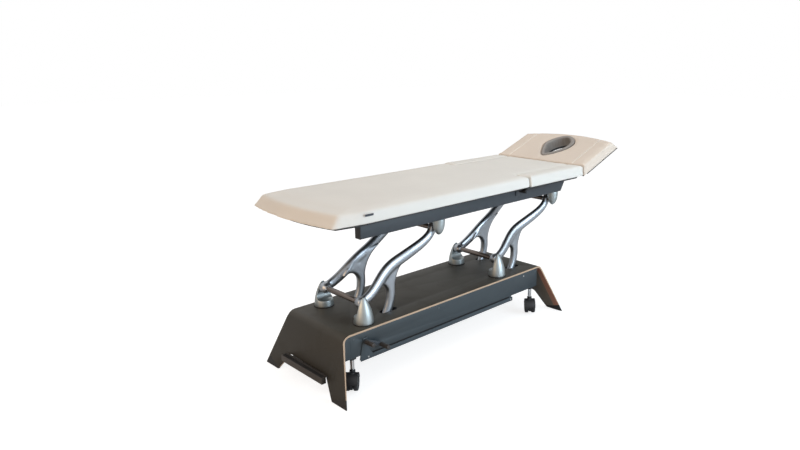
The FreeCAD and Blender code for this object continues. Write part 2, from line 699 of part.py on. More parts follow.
def pedestal(pivot_x):
    """Near-side pedestal with its inner side scooped out round the arm's hub."""
    levels = ((0, 1), (0.3, 0.92), (0.6, 0.71), (0.8, 0.49), (0.93, 0.29), (1, 0.13))
    body = bullet(PEDESTAL_RADIUS, PEDESTAL_HEIGHT, levels, V(pivot_x, -PEDESTAL_Y, PEDESTAL_BASE_Z), 1)
    floor_z = PEDESTAL_BASE_Z + PEDESTAL_FOOT
    high = PEDESTAL_BASE_Z + PEDESTAL_HEIGHT + 1
    inner_y = -SCOOP_Y + PEDESTAL_RADIUS * 2
    start = V(0, -SCOOP_Y, floor_z + SCOOP_RADIUS)
    turn = SCOOP_RADIUS * (1 - math.sqrt(0.5))
    middle = V(0, -SCOOP_Y + turn, floor_z + turn)
    end = V(0, -SCOOP_Y + SCOOP_RADIUS, floor_z)
    corners = [end, V(0, inner_y, floor_z), V(0, inner_y, high), V(0, -SCOOP_Y, high), start]
    edges = [Part.LineSegment(a, b).toShape() for a, b in zip(corners, corners[1:])]
    edges.append(Part.Arc(start, middle, end).toShape())
    cutter = Part.Face(Part.Wire(edges)).extrude(V(PEDESTAL_RADIUS * 3, 0, 0))
    cutter.translate(V(pivot_x - PEDESTAL_RADIUS * 1.5, 0, 0))
    reach = (-LOW_SHAFT_REACH - 1, 0)
    bore = rod_y(PIVOT_SHAFT_RADIUS + RUNNING_CLEARANCE, pivot_x, LOWER_PIVOT_Z, reach)
    return body.cut([cutter, bore])


def pedestal_gaskets():
    """Black rubber rings between the pedestals and the plywood."""
    rings = []
    for x in PIVOT_XS:
        disc = rod_z(PEDESTAL_RADIUS + GASKET_PROUD, x, -PEDESTAL_Y, (BASE_TOP_HEIGHT, PEDESTAL_BASE_Z))
        rings += both_sides(disc)
    return group(rings)


# Lift arms

def limb_point(share, offset):
    """Point beside the straight line between an arm's two pivots, from its lower one."""
    angle = math.radians(ARM_ANGLE)
    along = ARM_LENGTH * share
    x = along * math.cos(angle) - offset * math.sin(angle)
    z = along * math.sin(angle) + offset * math.cos(angle)
    return V(x, 0, z)


# Where the limb's middle line runs: share of the arm's length, offset from the straight line
# between the pivots, and distance from the couch's middle plane, nearest beside the prong
LIMB_LINE = ((0.0, 0.0, LOW_HUB_Y), (0.11, -9.0, 137.0), (0.26, -4.0, 125.0), (0.41, 2.0, 116.0),
             (0.56, -6.0, 121.0), (0.72, -15.0, 135.0), (0.87, -20.0, 144.0), (0.95, -14.0, 146.0),
             (1.0, 0.0, TOP_HUB_Y))


def limb_radius(share):
    """Half height of the limb, fullest beside the fork."""
    straight = LIMB_RADIUS_LOW + (LIMB_RADIUS_TOP - LIMB_RADIUS_LOW) * share
    middle = (LIMB_RADIUS_LOW + LIMB_RADIUS_TOP) / 2
    return straight + (LIMB_RADIUS_MIDDLE - middle) * math.sin(math.pi * share)


def limb():
    """S-shaped cast limb from the lower to the upper hub, bowed in towards the prong."""
    line = Part.BSplineCurve()
    line.interpolate([limb_point(share, offset) for share, offset, side in LIMB_LINE])
    sections = []
    for share, offset, side in LIMB_LINE:
        point = limb_point(share, offset)
        parameter = line.parameter(point)
        direction = line.tangent(parameter)[0]
        swell = (LIMB_HALF_THICK_MIDDLE - LIMB_HALF_THICK_ENDS) * math.sin(math.pi * share)
        ellipse = Part.Ellipse(V(0, 0, 0), limb_radius(share), LIMB_HALF_THICK_ENDS + swell)
        section = Part.Wire(ellipse.toShape())
        section.rotate(V(0, 0, 0), Y_AXIS, 90 - math.degrees(math.atan2(direction.z, direction.x)))
        section.translate(point + V(0, -side, 0))
        sections.append(section)
    return Part.makeLoft(sections, True, False)


def prong():
    """Curved prong that keeps one distance from the lower pivot, so that it slides through its slot."""
    centre = V(PRONG_ARC_RADIUS, 0, 0)
    ellipse = Part.Ellipse(centre, PRONG_HALF_RADIAL, PRONG_HALF_THICK)
    section = Part.Wire(ellipse.toShape())
    section.rotate(V(0, 0, 0), Y_AXIS, -PRONG_START_ANGLE)
    swing = PRONG_START_ANGLE - PRONG_END_ANGLE
    body = Part.Face(section).revolve(V(0, 0, 0), Y_AXIS, swing)
    hub_y = (-PRONG_HALF_THICK, PRONG_HALF_THICK)
    body = body.fuse(rod_y(PRONG_HUB_RADIUS, SHAFT_DX, SHAFT_DZ, hub_y))
    body.translate(V(0, -PRONG_Y, 0))
    return body


def arc_point(radius, degrees):
    """Point at a distance and angle from the lower pivot."""
    return V(radius * math.cos(math.radians(degrees)), 0, radius * math.sin(math.radians(degrees)))


def web():
    """Thick web that fills the fork between limb and prong with hollow curves."""
    inner_r = PRONG_ARC_RADIUS - PRONG_HALF_RADIAL
    outer_r = PRONG_ARC_RADIUS + PRONG_HALF_RADIAL
    low_start = limb_point(0.17, -12)
    low_middle = arc_point(inner_r - 16, 15)
    low_end = arc_point(inner_r + 2, -7)
    high_start = arc_point(outer_r - 2, -7)
    high_middle = arc_point(outer_r + 21, 18.5)
    high_end = limb_point(0.68, -24)
    edges = [Part.Arc(low_start, low_middle, low_end), Part.LineSegment(low_end, high_start)]
    edges += [Part.Arc(high_start, high_middle, high_end)]
    corners = [high_end, limb_point(0.55, 0), limb_point(0.4, 6), limb_point(0.25, 4), low_start]
    edges += [Part.LineSegment(a, b) for a, b in zip(corners, corners[1:])]
    plate = Part.Face(Part.Wire([edge.toShape() for edge in edges]))
    body = plate.extrude(V(0, 2 * WEB_HALF_THICK, 0))
    body.translate(V(0, -PRONG_Y - WEB_HALF_THICK, 0))
    return body


def hub_flare():
    """Smooth collar that narrows from the lower hub to the cross tube."""
    start_y = -LOW_HUB_Y + HUB_HALF_WIDTH
    end_y = start_y + 30
    points = [V(HUB_RADIUS_LOW, start_y, 0), V(HUB_RADIUS_LOW * 0.68, start_y + 9, 0)]
    points += [V(CROSS_TUBE_RADIUS + 1, end_y, 0)]
    edges = [Part.Arc(*points).toShape(), Part.LineSegment(points[2], V(0, end_y, 0)).toShape()]
    edges += [Part.LineSegment(V(0, end_y, 0), V(0, start_y, 0)).toShape()]
    edges += [Part.LineSegment(V(0, start_y, 0), points[0]).toShape()]
    return Part.Face(Part.Wire(edges)).revolve(V(0, 0, 0), Y_AXIS, 360)


def lift_arm(pivot_x):
    """Near-side cast arm with its hubs, prong and web, bored for its three shafts."""
    low_y = (-LOW_HUB_Y - HUB_HALF_WIDTH, -LOW_HUB_Y + HUB_HALF_WIDTH)
    top_y = (-TOP_HUB_Y - HUB_HALF_WIDTH, -TOP_HUB_Y + HUB_HALF_WIDTH)
    low_hub = rod_y(HUB_RADIUS_LOW, 0, 0, low_y)
    top_hub = rod_y(HUB_RADIUS_TOP, ARM_REACH, ARM_RISE, top_y)
    body = limb().fuse([low_hub, top_hub, prong(), web(), hub_flare()])
    reach = (-RAIL_OUTER_Y, 0)
    bores = [rod_y(PIVOT_SHAFT_RADIUS + 0.02, 0, 0, reach)]
    bores.append(rod_y(CROSS_TUBE_RADIUS + 0.02, 0, 0, (low_y[1], 0)))
    bores.append(rod_y(PIVOT_SHAFT_RADIUS + 0.02, ARM_REACH, ARM_RISE, reach))
    bores.append(rod_y(CROSS_TUBE_RADIUS + 0.02, ARM_REACH, ARM_RISE, (top_y[1], 0)))
    bores.append(rod_y(PRONG_SHAFT_RADIUS + 0.02, SHAFT_DX, SHAFT_DZ, reach))
    body = body.cut(bores)
    body.translate(V(pivot_x, 0, LOWER_PIVOT_Z))
    return body


def stepped_shaft(x, z, hub_y, reach):
    """Cross tube between two hubs, with thinner journals that reach past them."""
    inner = hub_y - HUB_HALF_WIDTH
    middle = rod_y(CROSS_TUBE_RADIUS, x, z, (-inner, inner))
    journal = rod_y(PIVOT_SHAFT_RADIUS, x, z, (-reach, reach))
    return middle.fuse(journal).removeSplitter()


def cross_tubes(pivot_x):
    """Lower and upper cross tubes of one arm pair and the shaft between its prongs."""
    low = stepped_shaft(pivot_x, LOWER_PIVOT_Z, LOW_HUB_Y, LOW_SHAFT_REACH)
    high = stepped_shaft(pivot_x + ARM_REACH, UPPER_PIVOT_Z, TOP_HUB_Y, TOP_SHAFT_REACH)
    reach = PRONG_Y + PRONG_HALF_THICK
    drive = rod_y(PRONG_SHAFT_RADIUS, pivot_x + SHAFT_DX, SHAFT_Z, (-reach, reach))
    return group([low, high, drive])


# Actuator and linkage inside the base

def actuator_housing():
    """Motor, gear case and outer tube, hung from a cross member of the chassis."""
    case = box(GEAR_CASE_XS, (-GEAR_CASE_HALF_Y, GEAR_CASE_HALF_Y), GEAR_CASE_Z)
    along = [edge for edge in case.Edges if abs(edge.tangentAt(edge.FirstParameter).x) > 0.9]
    case = case.makeFillet(10, along)
    motor = rod_x(MOTOR_RADIUS, 0, ACTUATOR_Z, (GEAR_CASE_XS[0] - MOTOR_LENGTH, GEAR_CASE_XS[0]))
    tube = rod_x(ACTUATOR_TUBE_RADIUS, 0, ACTUATOR_Z, ACTUATOR_TUBE_XS)
    hanger_z = (GEAR_CASE_Z[1] - 1, PLY_UNDERSIDE - CHASSIS_CROSS_DEPTH)
    hanger_x = (CHASSIS_MIDDLE_XS[0] - 12, CHASSIS_MIDDLE_XS[0] + 12)
    hanger = box(hanger_x, (-GEAR_CASE_HALF_Y + 12, GEAR_CASE_HALF_Y - 12), hanger_z)
    bore_start = ROD_INNER_X - YOKE_TRAVEL_DOWN - 6
    bore = rod_x(ROD_RADIUS + RUNNING_CLEARANCE, 0, ACTUATOR_Z, (bore_start, ACTUATOR_TUBE_XS[1]))
    return case.fuse([motor, tube, hanger]).cut(bore)


def actuator_rod():
    """Push rod with a slotted crosshead round the head pair's prong shaft."""
    shaft_x = PIVOT_X_HEAD + SHAFT_DX
    stem = rod_x(ROD_RADIUS, 0, ACTUATOR_Z, (ROD_INNER_X, shaft_x - YOKE_HALF_X + 2))
    yoke_z = (ACTUATOR_Z - YOKE_HALF_Z, ACTUATOR_Z + YOKE_HALF_Z)
    yoke = box((shaft_x - YOKE_HALF_X, shaft_x + YOKE_HALF_X), (-YOKE_HALF_Y, YOKE_HALF_Y), yoke_z)
    half_slot = PRONG_SHAFT_RADIUS + YOKE_PLAY_X
    straight = YOKE_SLOT_HALF_Z - half_slot
    slot = slot_y(half_slot, (shaft_x, ACTUATOR_Z - straight), (shaft_x, ACTUATOR_Z + straight),
                  (-YOKE_HALF_Y, YOKE_HALF_Y))
    return yoke.cut(slot).fuse(stem)


def tie_rod():
    """Flat bar that joins the prong shafts of both arm pairs."""
    foot_x = PIVOT_X_FOOT + SHAFT_DX
    head_x = PIVOT_X_HEAD + SHAFT_DX
    bar = box((foot_x, head_x), TIE_Y, (SHAFT_Z - TIE_HALF_DEPTH, SHAFT_Z + TIE_HALF_DEPTH))
    eyes = [rod_y(TIE_EYE_RADIUS, x, SHAFT_Z, (TIE_Y[0] - 4, TIE_Y[1] + 4)) for x in (foot_x, head_x)]
    holes = [rod_y(PRONG_SHAFT_RADIUS + RUNNING_CLEARANCE, foot_x, SHAFT_Z, (0, 2 * TIE_Y[1]))]
    holes.append(rod_y(PRONG_SHAFT_RADIUS + TIE_OPEN_CLEARANCE, head_x, SHAFT_Z, (0, 2 * TIE_Y[1])))
    return bar.fuse(eyes).cut(holes).removeSplitter()


# Top frame

def rail_profile():
    """Side view of a rail, with its head end sloping up."""
    foot = RAIL_FOOT_X
    head = RAIL_HEAD_X
    return [(foot, RAIL_BOTTOM), (head - RAIL_HEAD_SLOPE, RAIL_BOTTOM), (head, RAIL_TOP), (foot, RAIL_TOP)]


def top_rail():
    """Near-side hollow rail, closed at its sloping head end."""
    ys = (-RAIL_OUTER_Y, -RAIL_OUTER_Y + RAIL_WIDTH)
    body = prism_y(rail_profile(), ys)
    inner_y = (ys[0] + RAIL_WALL, ys[1] - RAIL_WALL)
    shift = RAIL_HEAD_SLOPE * RAIL_WALL / RAIL_DEPTH
    low_head = RAIL_HEAD_X - RAIL_HEAD_SLOPE - RAIL_WALL + shift
    high_head = RAIL_HEAD_X - RAIL_WALL - shift
    hollow = [(RAIL_FOOT_X - 1, RAIL_BOTTOM + RAIL_WALL), (low_head, RAIL_BOTTOM + RAIL_WALL)]
    hollow += [(high_head, RAIL_TOP - RAIL_WALL), (RAIL_FOOT_X - 1, RAIL_TOP - RAIL_WALL)]
    return body.cut(prism_y(hollow, inner_y))


def rail_end_caps():
    """Black plugs in the foot ends of the rails."""
    ys = (-RAIL_OUTER_Y, -RAIL_OUTER_Y + RAIL_WIDTH)
    cap = box((RAIL_FOOT_X - RAIL_CAP_THICK, RAIL_FOOT_X), ys, (RAIL_BOTTOM, RAIL_TOP))
    upright = edges_where(cap, lambda p: abs(p.x - RAIL_FOOT_X + RAIL_CAP_THICK) < 0.01)
    cap = cap.makeFillet(RAIL_CAP_THICK * 0.5, upright)
    return group(both_sides(cap))


def cross_members():
    """Rectangular tubes between the rails; two of them carry the arm brackets."""
    inner = RAIL_OUTER_Y - RAIL_WIDTH
    half = CROSS_MEMBER_WIDTH / 2
    zs = (CROSS_BOTTOM, RAIL_TOP)
    tubes = []
    for x in (*EXTRA_CROSS_XS, *UPPER_PIVOT_XS):
        tubes.append(tube_y((x - half, x + half), (-inner, inner), zs, CROSS_MEMBER_WALL))
    return group(tubes)


def top_bracket(x):
    """Near-side bracket under the rail, a bullet pointing down, bored for the upper shaft."""
    levels = ((0, 1), (0.35, 0.96), (0.6, 0.84), (0.8, 0.63), (0.93, 0.38), (1, 0.15))
    height = RAIL_BOTTOM - UPPER_PIVOT_Z + BRACKET_TIP_DROP
    body = bullet(BRACKET_RADIUS, height, levels, V(x, -BRACKET_Y, RAIL_BOTTOM), -1)
    reach = (-TOP_SHAFT_REACH - 1, 0)
    return body.cut(rod_y(PIVOT_SHAFT_RADIUS + RUNNING_CLEARANCE, x, UPPER_PIVOT_Z, reach))


def top_brackets():
    """The four brackets under the top frame."""
    brackets = []
    for x in UPPER_PIVOT_XS:
        brackets += both_sides(top_bracket(x))
    return group(brackets)


def joint_covers():
    """Black covers between the arms' upper hubs and the top frame."""
    covers = []
    half = HUB_RADIUS_TOP * 0.85
    hub_clear = HUB_RADIUS_TOP + JOINT_COVER_GAP
    for x in UPPER_PIVOT_XS:
        ys = (-TOP_HUB_Y - HUB_HALF_WIDTH + 2, -TOP_HUB_Y + HUB_HALF_WIDTH - 8)
        block = box((x - half, x + half), ys, (UPPER_PIVOT_Z + 12, CROSS_BOTTOM))
        block = block.cut(rod_y(hub_clear, x, UPPER_PIVOT_Z, (ys[0] - 1, ys[1] + 1)))
        covers += both_sides(block)
    return group(covers)


def main_outline(z, end_x, end_half, half, inner_half, head_x):
    """T-shaped outline of the main cushion or board with a bowed foot end."""
    taper_x = FOOT_END_X + FOOT_TAPER_LENGTH
    bow = end_x - FOOT_END_BULGE
    step_x = PAD_SEAM_X
    near = [V(head_x, -inner_half, z), V(step_x, -inner_half, z), V(step_x, -half, z), V(taper_x, -half, z)]
    near.append(V(end_x, -end_half, z))
    far = [V(p.x, -p.y, p.z) for p in reversed(near)]
    edges = [Part.LineSegment(a, b).toShape() for a, b in zip(near, near[1:])]
    edges.append(Part.Arc(near[-1], V(bow, 0, z), far[0]).toShape())
    edges += [Part.LineSegment(a, b).toShape() for a, b in zip(far, far[1:])]
    edges.append(Part.LineSegment(far[-1], near[0]).toShape())
    return Part.Wire(edges)


def main_cushion():
    """Long cushion with a sloping bowed foot end."""
    end_half = HALF_WIDTH - FOOT_END_INSET
    low = main_outline(CUSHION_BOTTOM, FOOT_END_X, end_half, HALF_WIDTH, PAD_SEAM_Y, MAIN_CUSHION_END_X)
    slope = CUSHION_SIDE_SLOPE
    high = main_outline(TOP_HEIGHT, FOOT_END_X + FOOT_END_SLOPE, end_half - 3 * slope, HALF_WIDTH - slope,
                        PAD_SEAM_Y, MAIN_CUSHION_END_X)
    body = Part.makeLoft([low, high], True, True)
    rim = edges_where(body, lambda p: p.z > TOP_HEIGHT - 0.01)
    outside = []
    for edge in rim:
        middle = edge.CenterOfMass
        if abs(middle.y) > HALF_WIDTH - 40 or middle.x < FOOT_END_X + 60:
            outside.append(edge)
    return body.makeFillet(CUSHION_EDGE_ROUND, outside)


def main_board():
    """Plywood board under the main cushion."""
    half = HALF_WIDTH - BOARD_INSET
    end_half = half - FOOT_END_INSET
    inner_half = PAD_SEAM_Y - PAD_GAP
    end_x = FOOT_END_X + BOARD_INSET
    outline = main_outline(BOARD_BOTTOM, end_x, end_half, half, inner_half, MAIN_BOARD_END_X)
    return Part.Face(outline).extrude(V(0, 0, BOARD_THICK))


def side_tag():
    """Small bare tab sewn to the near side of the main cushion."""
    xs = (FOOT_END_X + TAG_START, FOOT_END_X + TAG_START + TAG_LENGTH)
    low = TOP_HEIGHT - TAG_DROP
    face = HALF_WIDTH - CUSHION_SIDE_SLOPE * (low - CUSHION_BOTTOM) / CUSHION_THICK
    return box(xs, (-face - 0.3, -face - 1.5), (low, low + TAG_HEIGHT))


def head_hinge_lugs():
    """Two lugs on the head cross member, each with the headrest's pin."""
    lugs = []
    start_x = UPPER_PIVOT_XS[1] + CROSS_MEMBER_WIDTH / 2
    ys = (-HEAD_LUG_Y[1], -HEAD_LUG_Y[0])
    outline = [(start_x, CROSS_BOTTOM + 8), (start_x, RAIL_TOP), (MAIN_BOARD_END_X, RAIL_TOP - 0.5)]
    outline += [(HEAD_PIVOT_X, HEAD_PIVOT_Z + HEAD_LUG_RADIUS)]
    outline += [(HEAD_PIVOT_X + 4, HEAD_PIVOT_Z - HEAD_LUG_RADIUS + 1)]
    plate = prism_y(outline, ys).fuse(rod_y(HEAD_LUG_RADIUS, HEAD_PIVOT_X, HEAD_PIVOT_Z, ys))
    pin = rod_y(HEAD_PIN_RADIUS, HEAD_PIVOT_X, HEAD_PIVOT_Z, (-HEAD_LUG_Y[0], -HEAD_ARM_Y[0] + 2))
    lugs += both_sides(plate.fuse(pin).removeSplitter())
    return group(lugs)


# Headrest, drawn flat about its pivot and then tilted

def tilt_head(shape):
    """Turn a flat headrest piece to its rest tilt and move it to the pivot."""
    turned = shape.copy()
    turned.rotate(V(0, 0, 0), Y_AXIS, -HEAD_TILT)
    turned.translate(V(HEAD_PIVOT_X, 0, HEAD_PIVOT_Z))
    return turned


def head_outline(h, start_s, corner_s, half):
    """Outline of the headrest with a bowed end."""
    corners = [V(start_s, -half, h), V(corner_s, -half, h)]
    far = [V(corner_s, half, h), V(start_s, half, h)]
    edges = [Part.LineSegment(corners[0], corners[1]).toShape()]
    edges.append(Part.Arc(corners[1], V(corner_s + HEAD_BULGE, 0, h), far[0]).toShape())
    edges += [Part.LineSegment(far[0], far[1]).toShape(), Part.LineSegment(far[1], corners[0]).toShape()]
    return Part.Wire(edges)


def egg_wire(h, grow):
    """Egg-shaped loop of the face opening, narrow towards the hinge."""
    start = HEAD_HINGE_S + FACE_HOLE_START - grow
    end = HEAD_HINGE_S + FACE_HOLE_START + FACE_HOLE_LENGTH + grow
    wide = FACE_HOLE_WIDTH / 2 + grow
    middle = start + (end - start) * 0.62
    shoulder = start + (end - start) * 0.25
    points = [V(start, 0, h), V(shoulder, -wide * 0.68, h), V(middle, -wide, h), V(end, 0, h)]
    points += [V(middle, wide, h), V(shoulder, wide * 0.68, h)]
    loop = Part.BSplineCurve()
    loop.interpolate(points, PeriodicFlag=True)
    return Part.Wire(loop.toShape())


def egg_prism(low, high, grow):
    """Cutter with the egg outline between two levels."""
    return Part.Face(egg_wire(low, grow)).extrude(V(0, 0, high - low))


def head_cushion():
    """Headrest cushion whose hinge face stands upright at the rest tilt."""
    corner = HEAD_HINGE_S + HEAD_LENGTH - HEAD_BULGE
    lean = math.tan(math.radians(HEAD_TILT))
    low_s = HEAD_HINGE_GAP / HEAD_COS + HEAD_UNDER_H * lean
    high_s = HEAD_HINGE_GAP / HEAD_COS + HEAD_TOP_H * lean
    low = head_outline(HEAD_UNDER_H, low_s, corner + HEAD_END_SLOPE, HALF_WIDTH)
    high = head_outline(HEAD_TOP_H, high_s, corner, HALF_WIDTH - CUSHION_SIDE_SLOPE)
    body = Part.makeLoft([low, high], True, True)
    rim = edges_where(body, lambda p: p.z > HEAD_TOP_H - 0.01 and p.x > high_s + 1)
    sides = [edge for edge in edges_where(body, lambda p: p.z > HEAD_TOP_H - 0.01)
             if abs(edge.CenterOfMass.y) > HALF_WIDTH / 2]
    body = body.makeFillet(CUSHION_EDGE_ROUND, rim + sides)
    hole = egg_prism(HEAD_UNDER_H - 1, HEAD_TOP_H + 1, SOFT_GAP)
    return tilt_head(body.cut(hole))


def face_rim():
    """Padded ring lining the face opening."""
    low = HEAD_UNDER_H
    high = HEAD_TOP_H + FACE_RIM_PROUD
    ring = egg_prism(low, high, 0).cut(egg_prism(low - 1, high + 1, -FACE_RIM_WIDTH))
    top = edges_where(ring, lambda p: p.z > high - 0.01)
    return tilt_head(ring.makeFillet(FACE_RIM_WIDTH * 0.25, top))


def head_board():
    """Board under the headrest cushion, cut out for the face."""
    corner = HEAD_HINGE_S + HEAD_LENGTH - HEAD_BULGE - HEAD_BOARD_INSET / 2
    half = HALF_WIDTH - HEAD_BOARD_INSET
    outline = head_outline(HEAD_BOARD_H - BOARD_THICK, HEAD_BOARD_START, corner, half)
    body = Part.Face(outline).extrude(V(0, 0, BOARD_THICK))
    hole = egg_prism(HEAD_BOARD_H - BOARD_THICK - 1, HEAD_BOARD_H + 1, -FACE_RIM_WIDTH / 2)
    return tilt_head(body.cut(hole))


def head_frame():
    """Steel arms and cross bar under the headrest board."""
    top = HEAD_BOARD_H - BOARD_THICK
    parts = []
    ys = (-HEAD_ARM_Y[1], -HEAD_ARM_Y[0])
    for side in (1, -1):
        arm_y = (side * ys[0], side * ys[1])
        bar = box((HEAD_PIN_RADIUS, HEAD_ARM_LENGTH), arm_y, (top - HEAD_ARM_DEPTH, top))
        eye = rod_y(HEAD_EYE_RADIUS, 0, 0, arm_y)
        neck = prism_y([(0, HEAD_EYE_RADIUS), (HEAD_BOARD_START - 1, HEAD_EYE_RADIUS),
                        (HEAD_BOARD_START - 1, top - HEAD_ARM_DEPTH), (0, -HEAD_EYE_RADIUS)], arm_y)
        arm = bar.fuse([eye, neck])
        parts.append(arm.cut(rod_y(HEAD_PIN_RADIUS + RUNNING_CLEARANCE, 0, 0, (-HALF_WIDTH, HALF_WIDTH))))
    cross = tube_y((HEAD_CROSS_START, HEAD_CROSS_START + HEAD_CROSS_WIDTH), (ys[0], -ys[0]),
                   (top - HEAD_ARM_DEPTH, top), RAIL_WALL)
    return tilt_head(cross.fuse(parts).removeSplitter())


# Side pads

def pad_cushion():
    """Near-side pad beside the head end of the main cushion."""
    inner = -PAD_SEAM_Y - PAD_GAP
    outline = [(inner, CUSHION_BOTTOM), (-HALF_WIDTH, CUSHION_BOTTOM)]
    outline += [(-HALF_WIDTH + CUSHION_SIDE_SLOPE, TOP_HEIGHT), (inner, TOP_HEIGHT)]
    body = prism_x(outline, (PAD_SEAM_X + PAD_GAP, MAIN_CUSHION_END_X - PAD_HEAD_GAP))
    rim = edges_where(body, lambda p: p.z > TOP_HEIGHT - 0.01)
    outside = [edge for edge in rim if edge.CenterOfMass.y < inner - 10]
    return body.makeFillet(CUSHION_EDGE_ROUND, outside)


def pad_board():
    """Near-side pad board with its steel hinge strap and knuckle."""
    ys = (-PAD_BOARD_OUTER_Y, -PAD_STRAP_Y[0])
    body = box((PAD_PIVOT_X, MAIN_CUSHION_END_X - 8), ys, (BOARD_BOTTOM, BOARD_TOP))
    strap_y = (-PAD_STRAP_Y[1], -PAD_STRAP_Y[0])
    strap_z = (BOARD_BOTTOM - PAD_STRAP_THICK, BOARD_BOTTOM)
    strap = box((PAD_PIVOT_X, PAD_PIVOT_X + PAD_STRAP_LENGTH), strap_y, strap_z)
    knuckle = rod_y(PAD_KNUCKLE_RADIUS, PAD_PIVOT_X, PAD_PIVOT_Z, strap_y)
    hole = rod_y(PAD_PIN_RADIUS + RUNNING_CLEARANCE, PAD_PIVOT_X, PAD_PIVOT_Z, strap_y)
    return body.fuse([strap, knuckle]).cut(hole)


def pad_hinge_bracket():
    """Near-side plate on the rail with the pin that the pad turns on."""
    plate_y = (-RAIL_OUTER_Y - PAD_BRACKET_THICK, -RAIL_OUTER_Y)
    half = PAD_KNUCKLE_RADIUS + PAD_BRACKET_MARGIN
    zs = (PAD_PIVOT_Z - PAD_BRACKET_DROP, BOARD_BOTTOM - 1)
    plate = box((PAD_PIVOT_X - half, PAD_PIVOT_X + half), plate_y, zs)
    pin = rod_y(PAD_PIN_RADIUS, PAD_PIVOT_X, PAD_PIVOT_Z, (-PAD_STRAP_Y[1] - 4, -RAIL_OUTER_Y))
    return plate.fuse(pin).removeSplitter()


# Foot-end height bar

def foot_end_bar():
    """Tread bar outside the foot-end cut-out, on two arms that pivot inside."""
    ys = (-END_BAR_HALF_LENGTH, END_BAR_HALF_LENGTH)
    outer = box(END_BAR_X, ys, END_BAR_Z)
    wall = END_BAR_WALL
    hollow_x = (END_BAR_X[0] + wall, END_BAR_X[1])
    hollow_z = (END_BAR_Z[0], END_BAR_Z[1] - wall)
    hollow = box(hollow_x, (ys[0] + wall, ys[1] - wall), hollow_z)
    channel = outer.cut(hollow)
    parts = []
    for side in (-1, 1):
        y = side * END_BAR_ARM_Y
        arm_y = (y - END_BAR_ARM_HALF, y + END_BAR_ARM_HALF)
        arm_z = (END_BAR_PIVOT_Z - 7, END_BAR_PIVOT_Z + 7)
        parts.append(box((END_BAR_X[0] + wall, END_BAR_PIVOT_X), arm_y, arm_z))
        parts.append(rod_y(10, END_BAR_PIVOT_X, END_BAR_PIVOT_Z, arm_y))
        pin_y = sorted((y, y + side * (END_BAR_ARM_HALF + 10)))
        parts.append(rod_y(END_BAR_PIN_RADIUS, END_BAR_PIVOT_X, END_BAR_PIVOT_Z, pin_y))
    return channel.fuse(parts).removeSplitter()


# Castor pedal, link bar and castors

def peg_centres():
    """Places of the two pegs as (x, z)."""
    angle = math.radians(PEDAL_REST_ANGLE)
    half_x = PEDAL_SPACING / 2 * math.cos(angle)
    half_z = PEDAL_SPACING / 2 * math.sin(angle)
    return [(PEDAL_X - half_x, PEDAL_Z - half_z), (PEDAL_X + half_x, PEDAL_Z + half_z)]


def castor_pedal():
    """Rocker outside the near panel on a shaft that reaches the link bar's crank."""
    ys = (-PEDAL_FACE_Y - PEDAL_ARM_THICK, -PEDAL_FACE_Y)
    first, second = peg_centres()
    arm = slot_y(PEDAL_ARM_HALF, first, second, ys)
    shaft = rod_y(PEDAL_SHAFT_RADIUS, PEDAL_X, PEDAL_Z, (ys[0], -CHASSIS_RAIL_Y[0] - 4))
    crank_y = (-LINK_BAR_Y[1] - 7, -LINK_BAR_Y[1] - 1)
    low = (PEDAL_X, PEDAL_Z - CRANK_RADIUS + 6)
    crank = slot_y(PEDAL_SHAFT_RADIUS - 2, (PEDAL_X, PEDAL_Z), low, crank_y)
    spigots = [rod_y(PEG_RADIUS - 3, x, z, (ys[0] - PEG_LENGTH + 6, ys[1] - 1)) for x, z in (first, second)]
    return arm.fuse([shaft, crank] + spigots).removeSplitter()


def pedal_pegs():
    """Two black peg sleeves on the rocker."""
    pegs = []
    outer = -PEDAL_FACE_Y - PEDAL_ARM_THICK
    for x, z in peg_centres():
        sleeve = rod_y(PEG_RADIUS, x, z, (outer - PEG_LENGTH, outer))
        rim = edges_where(sleeve, lambda p: p.y < outer - PEG_LENGTH + 0.01)
        sleeve = sleeve.makeFillet(2.5, rim)
        pegs.append(sleeve.cut(rod_y(PEG_RADIUS - 2.98, x, z, (outer - PEG_LENGTH + 6, outer))))
    return group(pegs)


def link_bar():
    """Near-side bar with a sloping slot for each castor stem's pin."""
    ys = (-LINK_BAR_Y[1], -LINK_BAR_Y[0])
    bar = box((CASTOR_X_FOOT - 38, CASTOR_X_HEAD + 12), ys, LINK_BAR_Z)
    window = box((PEDAL_X - PEDAL_SHAFT_RADIUS - LINK_BAR_TRAVEL - 2, PEDAL_X + PEDAL_SHAFT_RADIUS + 2), ys,
                 (PEDAL_Z - PEDAL_SHAFT_RADIUS - 3, LINK_BAR_Z[1]))
    cutters = [window]
    for x in (CASTOR_X_FOOT, CASTOR_X_HEAD):
        end = (x - LINK_BAR_TRAVEL, STEM_PIN_Z - CASTOR_LIFT)
        cutters.append(slot_y(STEM_PIN_RADIUS + 0.3, (x, STEM_PIN_Z), end, ys))
    return bar.cut(cutters)


def castor_links():
    """Near and far link bars joined by a cross rod."""
    near = link_bar()
    cross = rod_y(LINK_ROD_RADIUS, LINK_ROD_X, LINK_BAR_Z[0] + 9, (-LINK_BAR_Y[0] - 1, LINK_BAR_Y[0] + 1))
    return near.fuse([mirrored(near), cross]).removeSplitter()


def castor_stem(x, y):
    """Chrome stem with the cross pin that the link bar drives."""
    side = 1 if y > 0 else -1
    hood_top = WHEEL_CENTRE_Z + WHEEL_RADIUS + HOOD_GAP + HOOD_WALL + 4
    stem = rod_z(STEM_RADIUS, x, y, (hood_top - 12, STEM_TOP_Z))
    pin_y = sorted((y, side * (LINK_BAR_Y[0] - 2)))
    return stem.fuse(rod_y(STEM_PIN_RADIUS, x, STEM_PIN_Z, pin_y)).removeSplitter()


